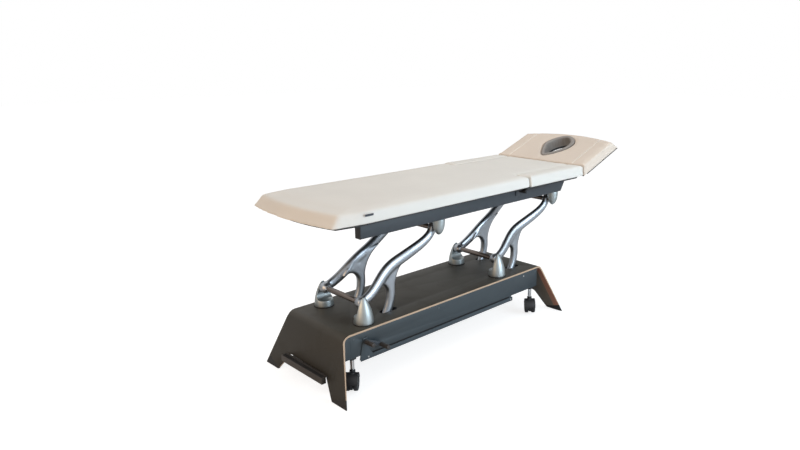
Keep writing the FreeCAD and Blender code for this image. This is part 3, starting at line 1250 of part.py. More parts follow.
def turn_castor(shape, x, y):
    """Turn a castor piece drawn with its wheel trailing along +X to its rest heading."""
    turned = shape.copy()
    turned.rotate(V(0, 0, 0), Z_AXIS, CASTOR_HEADING)
    turned.translate(V(x, y, 0))
    return turned


def castor_hood():
    """Twin-wheel hood with its middle web, fender and collar round the stem."""
    r_in = WHEEL_RADIUS + HOOD_GAP
    r_out = r_in + HOOD_WALL
    half = HOOD_WEB_HALF + 1 + WHEEL_WIDTH
    fender = rod_y(r_out, CASTOR_TRAIL, WHEEL_CENTRE_Z, (-half, half))
    fender = fender.cut(rod_y(r_in, CASTOR_TRAIL, WHEEL_CENTRE_Z, (-half, half)))
    keep_z = (WHEEL_CENTRE_Z + 4, WHEEL_CENTRE_Z + r_out + 1)
    fender = fender.common(box((CASTOR_TRAIL - r_out - 1, CASTOR_TRAIL + r_out + 1), (-half, half), keep_z))
    web_y = (-HOOD_WEB_HALF, HOOD_WEB_HALF)
    body = rod_y(r_in + 1, CASTOR_TRAIL, WHEEL_CENTRE_Z, web_y)
    web_x = (CASTOR_TRAIL - r_out, CASTOR_TRAIL + r_out)
    body = body.common(box(web_x, web_y, (WHEEL_CENTRE_Z - HOOD_WEB_DROP, WHEEL_CENTRE_Z + r_out)))
    top = WHEEL_CENTRE_Z + r_out + 4
    collar = rod_z(13, 0, 0, (WHEEL_CENTRE_Z + 10, top))
    wheel_space = rod_y(r_in, CASTOR_TRAIL, WHEEL_CENTRE_Z, (-half, half))
    collar = collar.cut(wheel_space.cut(rod_y(r_in, CASTOR_TRAIL, WHEEL_CENTRE_Z, web_y)))
    whole = body.fuse([fender, collar])
    bore = rod_z(STEM_RADIUS + RUNNING_CLEARANCE, 0, 0, (top - 16.5, top))
    axle_hole = rod_y(AXLE_RADIUS + RUNNING_CLEARANCE, CASTOR_TRAIL, WHEEL_CENTRE_Z, (-half, half))
    return whole.cut([bore, axle_hole]).removeSplitter()


def castor_wheels():
    """Two dished wheels and the axle between them."""
    inner = HOOD_WEB_HALF + 1
    outer = inner + WHEEL_WIDTH
    parts = []
    for side in (-1, 1):
        ys = sorted((side * inner, side * outer))
        wheel = rod_y(WHEEL_RADIUS, CASTOR_TRAIL, WHEEL_CENTRE_Z, ys)
        rims = edges_where(wheel, lambda p: abs(abs(p.y) - outer) < 0.01)
        wheel = wheel.makeChamfer(4, rims)
        dish = Part.makeCone(WHEEL_RADIUS * 0.42, WHEEL_RADIUS * 0.62, 4,
                             V(CASTOR_TRAIL, side * (outer - 4), WHEEL_CENTRE_Z), V(0, side, 0))
        parts.append(wheel.cut(dish))
    parts.append(rod_y(AXLE_RADIUS, CASTOR_TRAIL, WHEEL_CENTRE_Z, (-inner, inner)))
    return group(parts)


def save_base():
    """Write the pieces of the base."""
    body = base_with_feet()
    save("ply_shell", ply_shell(body))
    save("foot_caps", foot_caps(body))
    save("slot_liners", slot_liners())
    save("chassis_frame", chassis_frame())
    save("side_panels", side_panels())
    save("lower_rails", lower_rails())
    save("panel_screws", panel_screws())
    save("control_box", control_box())
    save("mains_inlet", mains_inlet())
    save("pedestal_gaskets", pedestal_gaskets())
    save("foot_end_bar", foot_end_bar())


def save_lift():
    """Write the pedestals, arms, shafts and drive."""
    for end, x in zip(("foot", "head"), PIVOT_XS):
        near_pedestal = pedestal(x)
        save("pedestal_" + end + "_near", near_pedestal)
        save("pedestal_" + end + "_far", mirrored(near_pedestal))
        near_arm = lift_arm(x)
        save("lift_arm_" + end + "_near", near_arm)
        save("lift_arm_" + end + "_far", mirrored(near_arm))
        save("cross_tubes_" + end, cross_tubes(x))
    save("actuator_housing", actuator_housing())
    save("actuator_rod", actuator_rod())
    save("tie_rod", tie_rod())


def save_top():
    """Write the top frame, boards, cushions, headrest and side pads."""
    save("top_rail_near", top_rail())
    save("top_rail_far", mirrored(top_rail()))
    save("rail_end_caps", rail_end_caps())
    save("cross_members", cross_members())
    save("top_brackets", top_brackets())
    save("joint_covers", joint_covers())
    save("main_board", main_board())
    save("main_cushion", main_cushion())
    save("side_tag", side_tag())
    save("head_hinge_lugs", head_hinge_lugs())
    save("head_frame", head_frame())
    save("head_board", head_board())
    save("head_cushion", head_cushion())
    save("face_rim", face_rim())
    save("pad_hinge_brackets", group(both_sides(pad_hinge_bracket())))
    for side, place in (("near", lambda shape: shape), ("far", mirrored)):
        save("pad_cushion_" + side, place(pad_cushion()))
        save("pad_board_" + side, place(pad_board()))


def save_castors():
    """Write the pedal, the link bars and the four castors."""
    save("castor_pedal", castor_pedal())
    save("pedal_pegs", pedal_pegs())
    save("castor_links", castor_links())
    hood = castor_hood()
    wheels = castor_wheels()
    for spot, (x, y) in CASTOR_SPOTS.items():
        save("castor_stem_" + spot, castor_stem(x, y))
        save("castor_hood_" + spot, turn_castor(hood, x, y))
        save("castor_wheels_" + spot, turn_castor(wheels, x, y))


save_base()
save_lift()
save_top()
save_castors()
print("origin shift", -ORIGIN_X)
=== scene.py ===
"""Treatment couch: the looks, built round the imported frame."""

from __future__ import annotations

import json
import logging
import math
from dataclasses import dataclass
from enum import Enum

import bmesh
import bpy
from mathutils import Matrix, Vector

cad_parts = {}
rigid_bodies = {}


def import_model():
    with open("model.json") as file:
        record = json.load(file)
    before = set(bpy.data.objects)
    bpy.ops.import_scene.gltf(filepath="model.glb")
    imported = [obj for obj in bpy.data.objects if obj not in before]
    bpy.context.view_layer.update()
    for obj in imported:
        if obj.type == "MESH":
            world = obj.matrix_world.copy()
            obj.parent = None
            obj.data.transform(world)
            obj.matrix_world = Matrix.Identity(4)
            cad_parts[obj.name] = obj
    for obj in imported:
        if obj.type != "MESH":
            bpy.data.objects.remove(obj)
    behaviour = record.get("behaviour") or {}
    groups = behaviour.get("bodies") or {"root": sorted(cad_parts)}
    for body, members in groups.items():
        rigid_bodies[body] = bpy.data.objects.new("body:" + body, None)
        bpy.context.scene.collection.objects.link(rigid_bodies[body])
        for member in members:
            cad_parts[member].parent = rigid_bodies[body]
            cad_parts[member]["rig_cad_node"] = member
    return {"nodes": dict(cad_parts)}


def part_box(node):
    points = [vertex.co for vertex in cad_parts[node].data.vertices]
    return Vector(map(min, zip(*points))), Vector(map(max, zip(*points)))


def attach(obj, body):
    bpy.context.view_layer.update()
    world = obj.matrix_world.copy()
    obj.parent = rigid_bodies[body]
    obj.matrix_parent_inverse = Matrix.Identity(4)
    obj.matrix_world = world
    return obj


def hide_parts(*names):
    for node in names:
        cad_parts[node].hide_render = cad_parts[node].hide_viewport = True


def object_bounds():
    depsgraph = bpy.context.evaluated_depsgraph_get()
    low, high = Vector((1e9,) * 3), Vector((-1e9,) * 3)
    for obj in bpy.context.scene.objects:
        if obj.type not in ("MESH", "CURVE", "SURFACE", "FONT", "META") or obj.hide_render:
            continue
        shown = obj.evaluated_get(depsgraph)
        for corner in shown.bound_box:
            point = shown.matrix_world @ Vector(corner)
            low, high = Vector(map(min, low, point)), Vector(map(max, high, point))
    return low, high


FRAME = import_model()
CAD_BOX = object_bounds()
LOG = logging.getLogger("couch")
MM = 0.001
BASE_BEHIND_MIDDLE = 0.24202
SHIFT_X = (CAD_BOX[0].x + CAD_BOX[1].x) / 2 - BASE_BEHIND_MIDDLE
ENDS = ("foot", "head")
SIDES = ("near", "far")
SIDE_SIGN = {"near": -1.0, "far": 1.0}
SMOOTH_LOSS = 0.035
SHARP_ANGLE = 40.0
SEAM_REACH = 0.03
Colour = tuple[float, float, float, float]
Piece = bpy.types.Object
Socket = bpy.types.NodeSocket


def place(x: float, y: float, z: float) -> Vector:
    """Point of the row frame, in metres, for millimetres about the middle of the base."""
    return Vector((x * MM + SHIFT_X, y * MM, z * MM))


def srgb(red: int, green: int, blue: int) -> Colour:
    """Linear colour for a colour as it is seen, each part from 0 to 255.

    Args:
        red: red part.
        green: green part.
        blue: blue part.

    Returns:
        Red, green, blue and alpha from 0 to 1.
    """
    parts = []
    for part in (red, green, blue):
        share = part / 255
        parts.append(share / 12.92 if share <= 0.04045 else ((share + 0.055) / 1.055) ** 2.4)
    return (parts[0], parts[1], parts[2], 1.0)


class Net:
    """A node tree with short calls to add and join its nodes."""

    def __init__(self, tree: bpy.types.NodeTree) -> None:
        """Keep the tree and start it empty."""
        self.tree = tree
        tree.nodes.clear()

    def add(self, kind: str, **settings: object) -> bpy.types.Node:
        """Add a node.

        Args:
            kind: Blender's name for the node type.
            settings: properties of the node, such as operation or data_type.

        Returns:
            The new node.
        """
        node = self.tree.nodes.new(kind)
        for key, value in settings.items():
            setattr(node, key, value)
        return node

    def feed(self, socket: Socket, value: object) -> None:
        """Link a socket to another, or set its plain value.

        Args:
            socket: the input to fill.
            value: a socket to link, or a plain value.
        """
        if isinstance(value, Socket):
            self.tree.links.new(value, socket)
        else:
            socket.default_value = value

    def fed(self, kind: str, inputs: dict[str | int, object], **settings: object) -> Socket:
        """Add a node with its inputs and return its first output.

        Args:
            kind: Blender's name for the node type.
            inputs: sockets or plain values by input name or number.
            settings: properties of the node.

        Returns:
            The node's first output.
        """
        node = self.add(kind, **settings)
        for key, value in inputs.items():
            self.feed(node.inputs[key], value)
        return node.outputs[0]

    def math(self, operation: str, *values: object) -> Socket:
        """Add a sum on sockets or numbers."""
        return self.fed("ShaderNodeMath", dict(enumerate(values)), operation=operation)

    def spread(self, value: object, low: float, high: float, to_low: float = 0.0,
               to_high: float = 1.0) -> Socket:
        """Map a value from one range to another, clamped."""
        limits = {"From Min": low, "From Max": high, "To Min": to_low, "To Max": to_high}
        return self.fed("ShaderNodeMapRange", {"Value": value, **limits})

    def mix(self, factor: object, first: object, second: object) -> Socket:
        """Mix two colours, by a factor of 0 for the first to 1 for the second."""
        blended = self.fed("ShaderNodeMix", {0: factor, 6: first, 7: second}, data_type="RGBA")
        return blended.node.outputs[2]

    def scaled(self, colour: object, factor: object) -> Socket:
        """Multiply a colour by a number."""
        plain = colour[:3] if isinstance(colour, tuple) else colour
        return self.fed("ShaderNodeVectorMath", {0: plain, "Scale": factor}, operation="SCALE")

    def noise(self, vector: object, scale: object, detail: float = 2.0) -> Socket:
        """Noise value about 0.5 at a point, by the pattern's scale and the number of its finer layers."""
        return self.fed("ShaderNodeTexNoise", {"Vector": vector, "Scale": scale, "Detail": detail})

    def stretched(self, vector: object, scale: tuple[float, float, float]) -> Socket:
        """Point with each of its parts scaled."""
        return self.fed("ShaderNodeMapping", {"Vector": vector, "Scale": scale})

    def parts(self, vector: object) -> bpy.types.NodeOutputs:
        """A vector's three parts as sockets.

        Args:
            vector: the socket to split.

        Returns:
            Sockets of its x, y and z.
        """
        node = self.add("ShaderNodeSeparateXYZ")
        self.feed(node.inputs[0], vector)
        return node.outputs


class Texture(Enum):
    """Surface patterns that the finishes are made of."""

    POWDER = "powder_coat"
    LEATHER = "cover_grain"
    BRUSHED = "brushed_metal"
    CAST = "cast_metal"
    MOULDED = "moulded_plastic"
    WOVEN = "woven_tab"
    LAMINATE = "laminate_grain"


class Effects:
    """Shader groups shared by the finishes, each built once.

    Each texture's method takes the net, the point and the scale, and returns height, shade and wear.
    """

    groups: dict[Texture, bpy.types.NodeTree] = {}
    results = ("Height", "Shade", "Wear")

    @classmethod
    def group(cls, texture: Texture) -> bpy.types.NodeTree:
        """Group of a texture, with inputs Point and Scale and outputs Height, Shade and Wear.

        Args:
            texture: the surface pattern.

        Returns:
            Its shader group.
        """
        if texture not in cls.groups:
            tree = bpy.data.node_groups.new(texture.value, "ShaderNodeTree")
            net = Net(tree)
            tree.interface.new_socket("Point", in_out="INPUT", socket_type="NodeSocketVector")
            tree.interface.new_socket("Scale", in_out="INPUT", socket_type="NodeSocketFloat")
            for name in cls.results:
                tree.interface.new_socket(name, in_out="OUTPUT", socket_type="NodeSocketFloat")
            given = net.add("NodeGroupInput").outputs
            target = net.add("NodeGroupOutput")
            made = getattr(cls, texture.value)(net, given["Point"], given["Scale"])
            for name, value in zip(cls.results, made):
                net.feed(target.inputs[name], value)
            cls.groups[texture] = tree
        return cls.groups[texture]

    @staticmethod
    def powder_coat(net: Net, point: Socket, scale: Socket) -> tuple[Socket, Socket, Socket]:
        """Fine orange peel with faint mottling."""
        scuff = net.spread(net.noise(net.stretched(point, (4, 30, 30)), 3.0, 4.0), 0.55, 0.75)
        return net.noise(point, scale, 3.0), net.noise(point, 7.0), scuff

    @staticmethod
    def cover_grain(net: Net, point: Socket, scale: Socket) -> tuple[Socket, Socket, Socket]:
        """Pebbled grain of a coated cover, with soft creases between the cells.

        Args:
            net: the group's net.
            point: where the pattern is read.
            scale: size of the pattern.

        Returns:
            Height, shade and wear.
        """
        wobble = net.add("ShaderNodeTexNoise")
        net.feed(wobble.inputs["Vector"], point)
        wobble.inputs["Scale"].default_value = 160.0
        drift = net.scaled(wobble.outputs["Color"], 0.004)
        bent = net.fed("ShaderNodeVectorMath", {0: point, 1: drift}, operation="ADD")
        cells = net.fed("ShaderNodeTexVoronoi", {"Vector": bent, "Scale": scale}, feature="DISTANCE_TO_EDGE")
        pebble = net.spread(cells, 0.0, 0.28)
        fine = net.noise(point, net.math("MULTIPLY", scale, 3.0))
        height = net.math("ADD", net.math("MULTIPLY", pebble, 0.75), net.math("MULTIPLY", fine, 0.25))
        return height, net.noise(point, 5.0, 3.0), net.spread(net.noise(point, 16.0, 4.0), 0.5, 0.8)

    @staticmethod
    def brushed_metal(net: Net, point: Socket, scale: Socket) -> tuple[Socket, Socket, Socket]:
        """Fine lines round a turned or drawn bar."""
        lines = net.noise(net.stretched(point, (9.0, 0.35, 9.0)), scale, 3.0)
        return lines, net.noise(point, 12.0), net.spread(net.noise(point, 30.0, 3.0), 0.45, 0.7)

    @staticmethod
    def cast_metal(net: Net, point: Socket, scale: Socket) -> tuple[Socket, Socket, Socket]:
        """Hand-polished casting: soft ripples under fine random lines.

        Args:
            net: the group's net.
            point: where the pattern is read.
            scale: size of the pattern.

        Returns:
            Height, shade and wear.
        """
        ripple = net.noise(point, 26.0, 1.0)
        lines = net.noise(net.stretched(point, (1.0, 4.0, 1.0)), scale, 3.0)
        height = net.math("ADD", net.math("MULTIPLY", ripple, 0.8), net.math("MULTIPLY", lines, 0.2))
        return height, net.noise(point, 9.0), net.spread(net.noise(point, 22.0, 4.0), 0.42, 0.72)

    @staticmethod
    def moulded_plastic(net: Net, point: Socket, scale: Socket) -> tuple[Socket, Socket, Socket]:
        """Spark-eroded mould texture."""
        rub = net.spread(net.noise(point, 40.0, 3.0), 0.55, 0.75)
        return net.noise(point, scale, 4.0), net.noise(point, 15.0, 1.0), rub

    @staticmethod
    def woven_tab(net: Net, point: Socket, scale: Socket) -> tuple[Socket, Socket, Socket]:
        """Plain weave seen on a flat face across Y.

        Args:
            net: the group's net.
            point: where the pattern is read.
            scale: size of the pattern.

        Returns:
            Height, shade and wear.
        """
        parts = net.parts(point)
        warp = net.math("SINE", net.math("MULTIPLY", parts[0], scale))
        weft = net.math("SINE", net.math("MULTIPLY", parts[2], scale))
        weave = net.math("MULTIPLY", warp, weft)
        return weave, net.noise(point, 60.0), net.spread(weave, -1.0, 1.0)

    @staticmethod
    def laminate_grain(net: Net, point: Socket, scale: Socket) -> tuple[Socket, Socket, Socket]:
        """Faint long pores of a dark laminate.

        Args:
            net: the group's net.
            point: where the pattern is read.
            scale: size of the pattern.

        Returns:
            Height, shade and wear.
        """
        pores = net.noise(net.stretched(point, (1.0, 14.0, 1.0)), scale, 4.0)
        cloud = net.noise(net.stretched(point, (1.0, 3.0, 1.0)), 6.0, 3.0)
        return pores, cloud, net.spread(net.noise(point, 11.0, 4.0), 0.52, 0.78)


@dataclass(frozen=True)
class Finish:
    """One finish of the couch, made a material on first use.

    Attributes:
        slot: the record's material slot, which also names the material.
        colour: main colour.
        roughness: mean roughness.
        texture: surface pattern.
        scale: pattern scale.
        bump: depth of the pattern in metres.
        metallic: 1 for bare metal.
        shade: how far the colour wanders either way.
        wear: how much the worn places differ in roughness.
        sheen: weight of a soft sheen.
        variant: end of the material's name where one slot has two finishes.
    """

    slot: str
    colour: Colour
    roughness: float
    texture: Texture
    scale: float
    bump: float = 0.0001
    metallic: float = 0.0
    shade: float = 0.08
    wear: float = 0.08
    sheen: float = 0.0
    variant: str = ""

    def material(self) -> bpy.types.Material:
        """Build the material once and return it after that.

        Returns:
            The finish's material.
        """
        name = self.slot + self.variant
        found = bpy.data.materials.get("finish_" + name)
        if found:
            return found
        made = bpy.data.materials.new("finish_" + name)
        made.use_nodes = True
        net = Net(made.node_tree)
        output = net.add("ShaderNodeOutputMaterial")
        point = net.add("ShaderNodeTexCoord").outputs["Object"]
        effect = net.add("ShaderNodeGroup", node_tree=Effects.group(self.texture))
        net.feed(effect.inputs["Point"], point)
        effect.inputs["Scale"].default_value = self.scale
        values = effect.outputs
        brightness = net.spread(values["Shade"], 0.3, 0.7, 1.0 - self.shade, 1.0 + self.shade)
        rough = net.spread(values["Wear"], 0.0, 1.0, self.roughness, self.roughness + self.wear)
        grain = {"Strength": 1.0, "Distance": self.bump, "Height": values["Height"]}
        looks = {"Base Color": net.scaled(self.colours(net, point), brightness), "Roughness": rough}
        looks |= {"Normal": net.fed("ShaderNodeBump", grain), "Metallic": self.metallic}
        looks |= {"Sheen Weight": self.sheen}
        net.feed(output.inputs["Surface"], net.fed("ShaderNodeBsdfPrincipled", looks))
        return made

    def colours(self, net: Net, point: Socket) -> object:
        """Colour over the surface, one colour unless a finish says otherwise."""
        return self.colour

    def dress(self, piece: Piece) -> Piece:
        """Give a piece this finish alone, and name its slot.

        Args:
            piece: a new piece or a CAD node's object.

        Returns:
            The same piece.
        """
        if "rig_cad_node" in piece and piece.data.materials:
            for slot in piece.material_slots:
                slot.link = "OBJECT"
                slot.material = self.material()
        else:
            piece.data.materials.clear()
            piece.data.materials.append(self.material())
        return piece


@dataclass(frozen=True)
class PlyFinish(Finish):
    """Dark laminate faces with bare ply edges, told apart by which way a face points.

    Attributes:
        edge: pale colour of the ply edge.
        layer: darker colour of every other layer.
        bevel: warm colour of the inner band beside a leg's edge.
        inside: colour of the legs' inner faces.
        outer_leg_painted_shade: painted shade, how much darker the legs' outer faces are made, standing in
            for the weaker light on them.
        band: width of the inner band in metres.
        half: half width of the top in metres.
        foot_half: half width on the floor.
        widen: height under which the legs get wider.
        thick: thickness of the ply in metres.
        top: height of the top in metres.
        foot_reach: how far out a leg's outer face is on the floor, from the middle of the base.
        lean: how far a leg leans, per unit of height.
        line: width of the fine line beside the band.
        layer_pairs: pale and dark pairs of layers in the thickness.
        contrast: how much of the darker layer shows.
    """

    edge: Colour = srgb(205, 178, 150)
    layer: Colour = srgb(176, 140, 112)
    bevel: Colour = srgb(152, 104, 84)
    inside: Colour = srgb(104, 95, 84)
    outer_leg_painted_shade: float = 0.52
    band: float = 0.034
    half: float = 0.216
    foot_half: float = 0.32
    widen: float = 0.25
    thick: float = 0.009
    top: float = 0.269
    foot_reach: float = 0.751
    lean: float = 0.28
    line: float = 0.0035
    layer_pairs: int = 2
    contrast: float = 0.55

    def colours(self, net: Net, point: Socket) -> Socket:
        """Laminate with painted shade on the legs' outer faces, layered edge, inner face or band, by place
        and the true direction of the face.

        Args:
            net: the material's net.
            point: the point on the surface.

        Returns:
            The colour there.
        """
        facing = net.parts(net.add("ShaderNodeNewGeometry").outputs["True Normal"])
        where = net.parts(point)
        offset = net.math("SUBTRACT", where[0], SHIFT_X)
        outward = net.math("MULTIPLY", facing[0], net.math("SIGN", offset))
        fibres = net.noise(net.stretched(point, (30.0, 30.0, 30.0)), 12.0, 3.0)
        # painted shade: the legs' outer faces, which get less light, are darkened
        outer_leg_shade_mask = net.spread(outward, 0.4, 0.9)
        laminate = net.scaled(self.colour, net.spread(outer_leg_shade_mask, 0.0, 1.0, 1.0, self.outer_leg_painted_shade))
        inner_mask = net.math("LESS_THAN", outward, -0.1)
        faces = net.mix(inner_mask, laminate, self.inner_face(net, where, fibres))
        low = net.math("LESS_THAN", where[2], self.top * 0.6)
        foot = net.math("MULTIPLY", net.math("LESS_THAN", net.math("ABSOLUTE", facing[0]), 0.12), low)
        sideways = net.math("GREATER_THAN", net.math("ABSOLUTE", facing[1]), 0.5)
        edges = self.layers_seen(net, where, offset, fibres)
        return net.mix(net.math("MAXIMUM", sideways, foot), faces, edges)

    def inner_face(self, net: Net, where: bpy.types.NodeOutputs, fibres: Socket) -> Socket:
        """A leg's inner face, with a warm band and a fine line beside its edge.

        Args:
            net: the material's net.
            where: the point's three parts.
            fibres: noise along the fibres.

        Returns:
            The colour.
        """
        low_z = net.math("MINIMUM", where[2], self.widen)
        slope = (self.foot_half - self.half) / self.widen
        edge_y = net.math("SUBTRACT", self.foot_half, net.math("MULTIPLY", low_z, slope))
        inset = net.math("SUBTRACT", edge_y, net.math("ABSOLUTE", where[1]))
        in_band = net.math("LESS_THAN", inset, self.band)
        on_line = net.math("MULTIPLY", net.math("LESS_THAN", inset, self.band + self.line),
                           net.math("GREATER_THAN", inset, self.band))
        grained = net.scaled(self.bevel, net.spread(fibres, 0.3, 0.7, 0.82, 1.15))
        banded = net.mix(in_band, self.inside, grained)
        return net.mix(net.math("MULTIPLY", on_line, self.contrast), banded, self.layer)

    def layers_seen(self, net: Net, where: bpy.types.NodeOutputs, offset: Socket, fibres: Socket) -> Socket:
        """The ply edge's layers, by how deep a point lies under the top or a leg's outer face.

        Args:
            net: the material's net.
            where: the point's three parts.
            offset: its distance along the couch from the middle of the base.
            fibres: noise along the fibres.

        Returns:
            The colour.
        """
        plane = net.math("SUBTRACT", self.foot_reach, net.math("MULTIPLY", where[2], self.lean))
        reach = net.math("ABSOLUTE", offset)
        leg_depth = net.math("DIVIDE", net.math("SUBTRACT", plane, reach), math.hypot(1, self.lean))
        depth = net.math("MINIMUM", net.math("SUBTRACT", self.top, where[2]), leg_depth)
        waves = net.math("SINE", net.math("MULTIPLY", depth, math.tau * self.layer_pairs / self.thick))
        stripes = net.math("MULTIPLY", net.spread(waves, -0.4, 0.4), self.contrast)
        return net.scaled(net.mix(stripes, self.edge, self.layer), net.spread(fibres, 0.3, 0.7, 0.9, 1.08))


class Paint:
    """The couch's finishes."""

    ply = PlyFinish("ply", srgb(68, 65, 57), 0.54, Texture.LAMINATE, 420.0, 0.00003, wear=0.1, shade=0.03)
    panel = Finish("panel_paint", srgb(56, 65, 70), 0.42, Texture.POWDER, 1300.0, 0.00005, shade=0.05)
    painted_screw = Finish("panel_paint", srgb(88, 97, 103), 0.36, Texture.BRUSHED, 900.0, 0.00002,
                           variant="_screw")
    strip = Finish("strip_paint", srgb(61, 71, 77), 0.4, Texture.POWDER, 1300.0, 0.00005, shade=0.05)
    rail = Finish("frame_paint", srgb(52, 58, 64), 0.4, Texture.POWDER, 1300.0, 0.00005, shade=0.05)
    bar = Finish("bar_paint", srgb(62, 57, 53), 0.42, Texture.POWDER, 1200.0, 0.00005)
    chassis = Finish("chassis_paint", srgb(40, 41, 43), 0.55, Texture.POWDER, 900.0, 0.00008)
    screw = Finish("screw_steel", srgb(205, 205, 205), 0.28, Texture.BRUSHED, 900.0, 0.00002, metallic=1.0)
    alloy = Finish("cast_alloy", srgb(172, 177, 183), 0.33, Texture.CAST, 500.0, 0.00003, metallic=1.0,
                   shade=0.03, wear=0.05)
    satin_alloy = Finish("cast_alloy", srgb(176, 183, 184), 0.42, Texture.CAST, 800.0, 0.00005, metallic=1.0,
                         shade=0.04, wear=0.06, variant="_satin")
    # tube steel: its darker tone is its own finish; its warm brown tint is a painted reflection of warm
    # surroundings
    tube_painted_warm_reflection = Finish("tube_steel", srgb(128, 118, 112), 0.32, Texture.BRUSHED, 700.0, 0.00003, metallic=1.0)
    chrome = Finish("chrome", srgb(226, 228, 230), 0.08, Texture.BRUSHED, 500.0, 0.000005, metallic=1.0,
                    shade=0.02, wear=0.06)
    rubber = Finish("foot_rubber", srgb(34, 33, 33), 0.55, Texture.MOULDED, 1500.0, 0.00008)
    plastic = Finish("black_plastic", srgb(38, 38, 40), 0.48, Texture.MOULDED, 1800.0, 0.00006)
    peg = Finish("black_plastic", srgb(58, 54, 52), 0.5, Texture.MOULDED, 1600.0, 0.00008, variant="_peg")
    wheel = Finish("wheel_plastic", srgb(46, 46, 48), 0.42, Texture.MOULDED, 1500.0, 0.00006)
    board = Finish("board_black", srgb(40, 39, 40), 0.5, Texture.LAMINATE, 500.0, 0.00004)
    cream = Finish("cover_cream", srgb(234, 229, 221), 0.5, Texture.LEATHER, 520.0, 0.00022, shade=0.02,
                   wear=0.06, sheen=0.08)
    beige = Finish("cover_beige", srgb(229, 213, 197), 0.5, Texture.LEATHER, 520.0, 0.00022, shade=0.025,
                   wear=0.06, sheen=0.08)
    # pale thread: its own colour in the stitches, and partly painted highlight in the cords of the seams and
    # the gap
    thread = Finish("cover_beige", srgb(250, 244, 236), 0.7, Texture.MOULDED, 3000.0, 0.00003,
                    variant="_thread")
    rim = Finish("rim_taupe", srgb(144, 137, 131), 0.45, Texture.LEATHER, 600.0, 0.0002, shade=0.04)
    tag = Finish("tag_cloth", srgb(74, 76, 82), 0.8, Texture.WOVEN, 9000.0, 0.0001)


# Meshes

def merged_copy(node: str) -> bpy.types.Mesh:
    """Copy of a CAD node's mesh with its loose triangles joined.

    Args:
        node: the CAD node.

    Returns:
        The new mesh.
    """
    mesh = FRAME["nodes"][node].data.copy()
    body = bmesh.new()
    body.from_mesh(mesh)
    bmesh.ops.remove_doubles(body, verts=body.verts, dist=0.000005)
    bmesh.ops.dissolve_limit(body, angle_limit=math.radians(1.0), verts=body.verts, edges=body.edges)
    body.to_mesh(mesh)
    body.free()
    return mesh


def new_piece(name: str, mesh: bpy.types.Mesh) -> Piece:
    """Put a mesh in the scene under a name, with no materials.

    Args:
        name: the piece's name.
        mesh: its mesh.

    Returns:
        The new piece.
    """
    mesh.name = name
    mesh.materials.clear()
    piece = bpy.data.objects.new(name, mesh)
    bpy.context.scene.collection.objects.link(piece)
    return piece


def settle(piece: Piece) -> Piece:
    """Apply all modifiers of a piece and leave a plain mesh.

    Args:
        piece: the piece with modifiers.

    Returns:
        The same piece with a plain mesh.
    """
    graph = bpy.context.evaluated_depsgraph_get()
    graph.update()
    made = bpy.data.meshes.new_from_object(piece.evaluated_get(graph))
    piece.modifiers.clear()
    old = piece.data
    piece.data = made
    bpy.data.meshes.remove(old)
    piece.data.name = piece.name
    return piece


def smooth_by_angle(piece: Piece, degrees: float) -> None:
    """Shade a piece smooth, with edges over an angle left sharp.

    Args:
        piece: the piece to shade.
        degrees: the angle.
    """
    mesh = piece.data
    body = bmesh.new()
    body.from_mesh(mesh)
    for face in body.faces:
        face.smooth = True
    for edge in body.edges:
        sharp = len(edge.link_faces) != 2 or edge.calc_face_angle(0.0) > math.radians(degrees)
        edge.smooth = not sharp
    body.to_mesh(mesh)
    body.free()


def from_body(name: str, body: bmesh.types.BMesh, sharp: float | None = SHARP_ANGLE) -> Piece:
    """Make a piece of a bmesh, with its faces turned outwards.

    Args:
        name: the piece's name.
        body: the bmesh, which is freed.
        sharp: angle in degrees over which an edge stays sharp; None keeps the flat shading.

    Returns:
        The new piece.
    """
    bmesh.ops.recalc_face_normals(body, faces=body.faces)
    mesh = bpy.data.meshes.new(name)
    body.to_mesh(mesh)
    body.free()
    piece = new_piece(name, mesh)
    if sharp is not None:
        smooth_by_angle(piece, sharp)
    return piece


def loft(body: bmesh.types.BMesh, rows: list[list[bmesh.types.BMVert]], loop: bool = False) -> None:
    """Lay faces between rings of points; a ring of one point closes an end.

    Args:
        body: the bmesh that the points belong to.
        rows: the rings in order.
        loop: whether the last ring joins the first.
    """
    count = max(len(row) for row in rows)
    for low, high in zip(rows, rows[1:] + (rows[:1] if loop else [])):
        for step in range(count):
            near, far = (step, step + 1), (step + 1, step)
            ring = [low[spot % len(low)] for spot in near] + [high[spot % len(high)] for spot in far]
            corners = list(dict.fromkeys(ring))
            if len(corners) > 2:
                body.faces.new(corners)


def softened(node: str, finish: Finish, body: str, width: float = 0.8, segments: int = 2,
             angle: float = 32.0) -> Piece:
    """Stand-in for a CAD node with its sharp edges rounded off.

    Args:
        node: the CAD node.
        finish: its finish.
        body: the body it rides on.
        width: size of the rounding in millimetres.
        segments: steps in the rounding.
        angle: smallest angle of an edge that is rounded.

    Returns:
        The new piece.
    """
    piece = new_piece(node + "_soft", merged_copy(node))
    bevel = piece.modifiers.new("edges", "BEVEL")
    bevel.width = width * MM
    bevel.segments = segments
    bevel.limit_method = "ANGLE"
    bevel.angle_limit = math.radians(angle)
    settle(piece)
    smooth_by_angle(piece, SHARP_ANGLE)
    return finished(piece, finish, body, node)


def voxel_grid(piece: Piece, size: float) -> None:
    """Lay an even grid of a size in millimetres over a piece.

    Args:
        piece: the piece to remesh.
        size: the grid's size.
    """
    grid = piece.modifiers.new("grid", "REMESH")
    grid.mode = "VOXEL"
    grid.voxel_size = size * MM


def shade_smooth(piece: Piece) -> None:
    """Shade every face of a piece smooth."""
    for face in piece.data.polygons:
        face.use_smooth = True


def finished(piece: Piece, finish: Finish, body: str, *nodes: str) -> Piece:
    """Dress a piece, fix it to its body and let it stand for CAD nodes.

    Args:
        piece: the piece.
        finish: what it is made of.
        body: the body it rides on.
        nodes: CAD nodes that it stands for.

    Returns:
        The same piece.
    """
    finish.dress(piece)
    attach(piece, body)
    if nodes:
        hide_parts(*nodes)
    LOG.info("%s: %d faces on %s", piece.name, len(piece.data.polygons), body)
    return piece


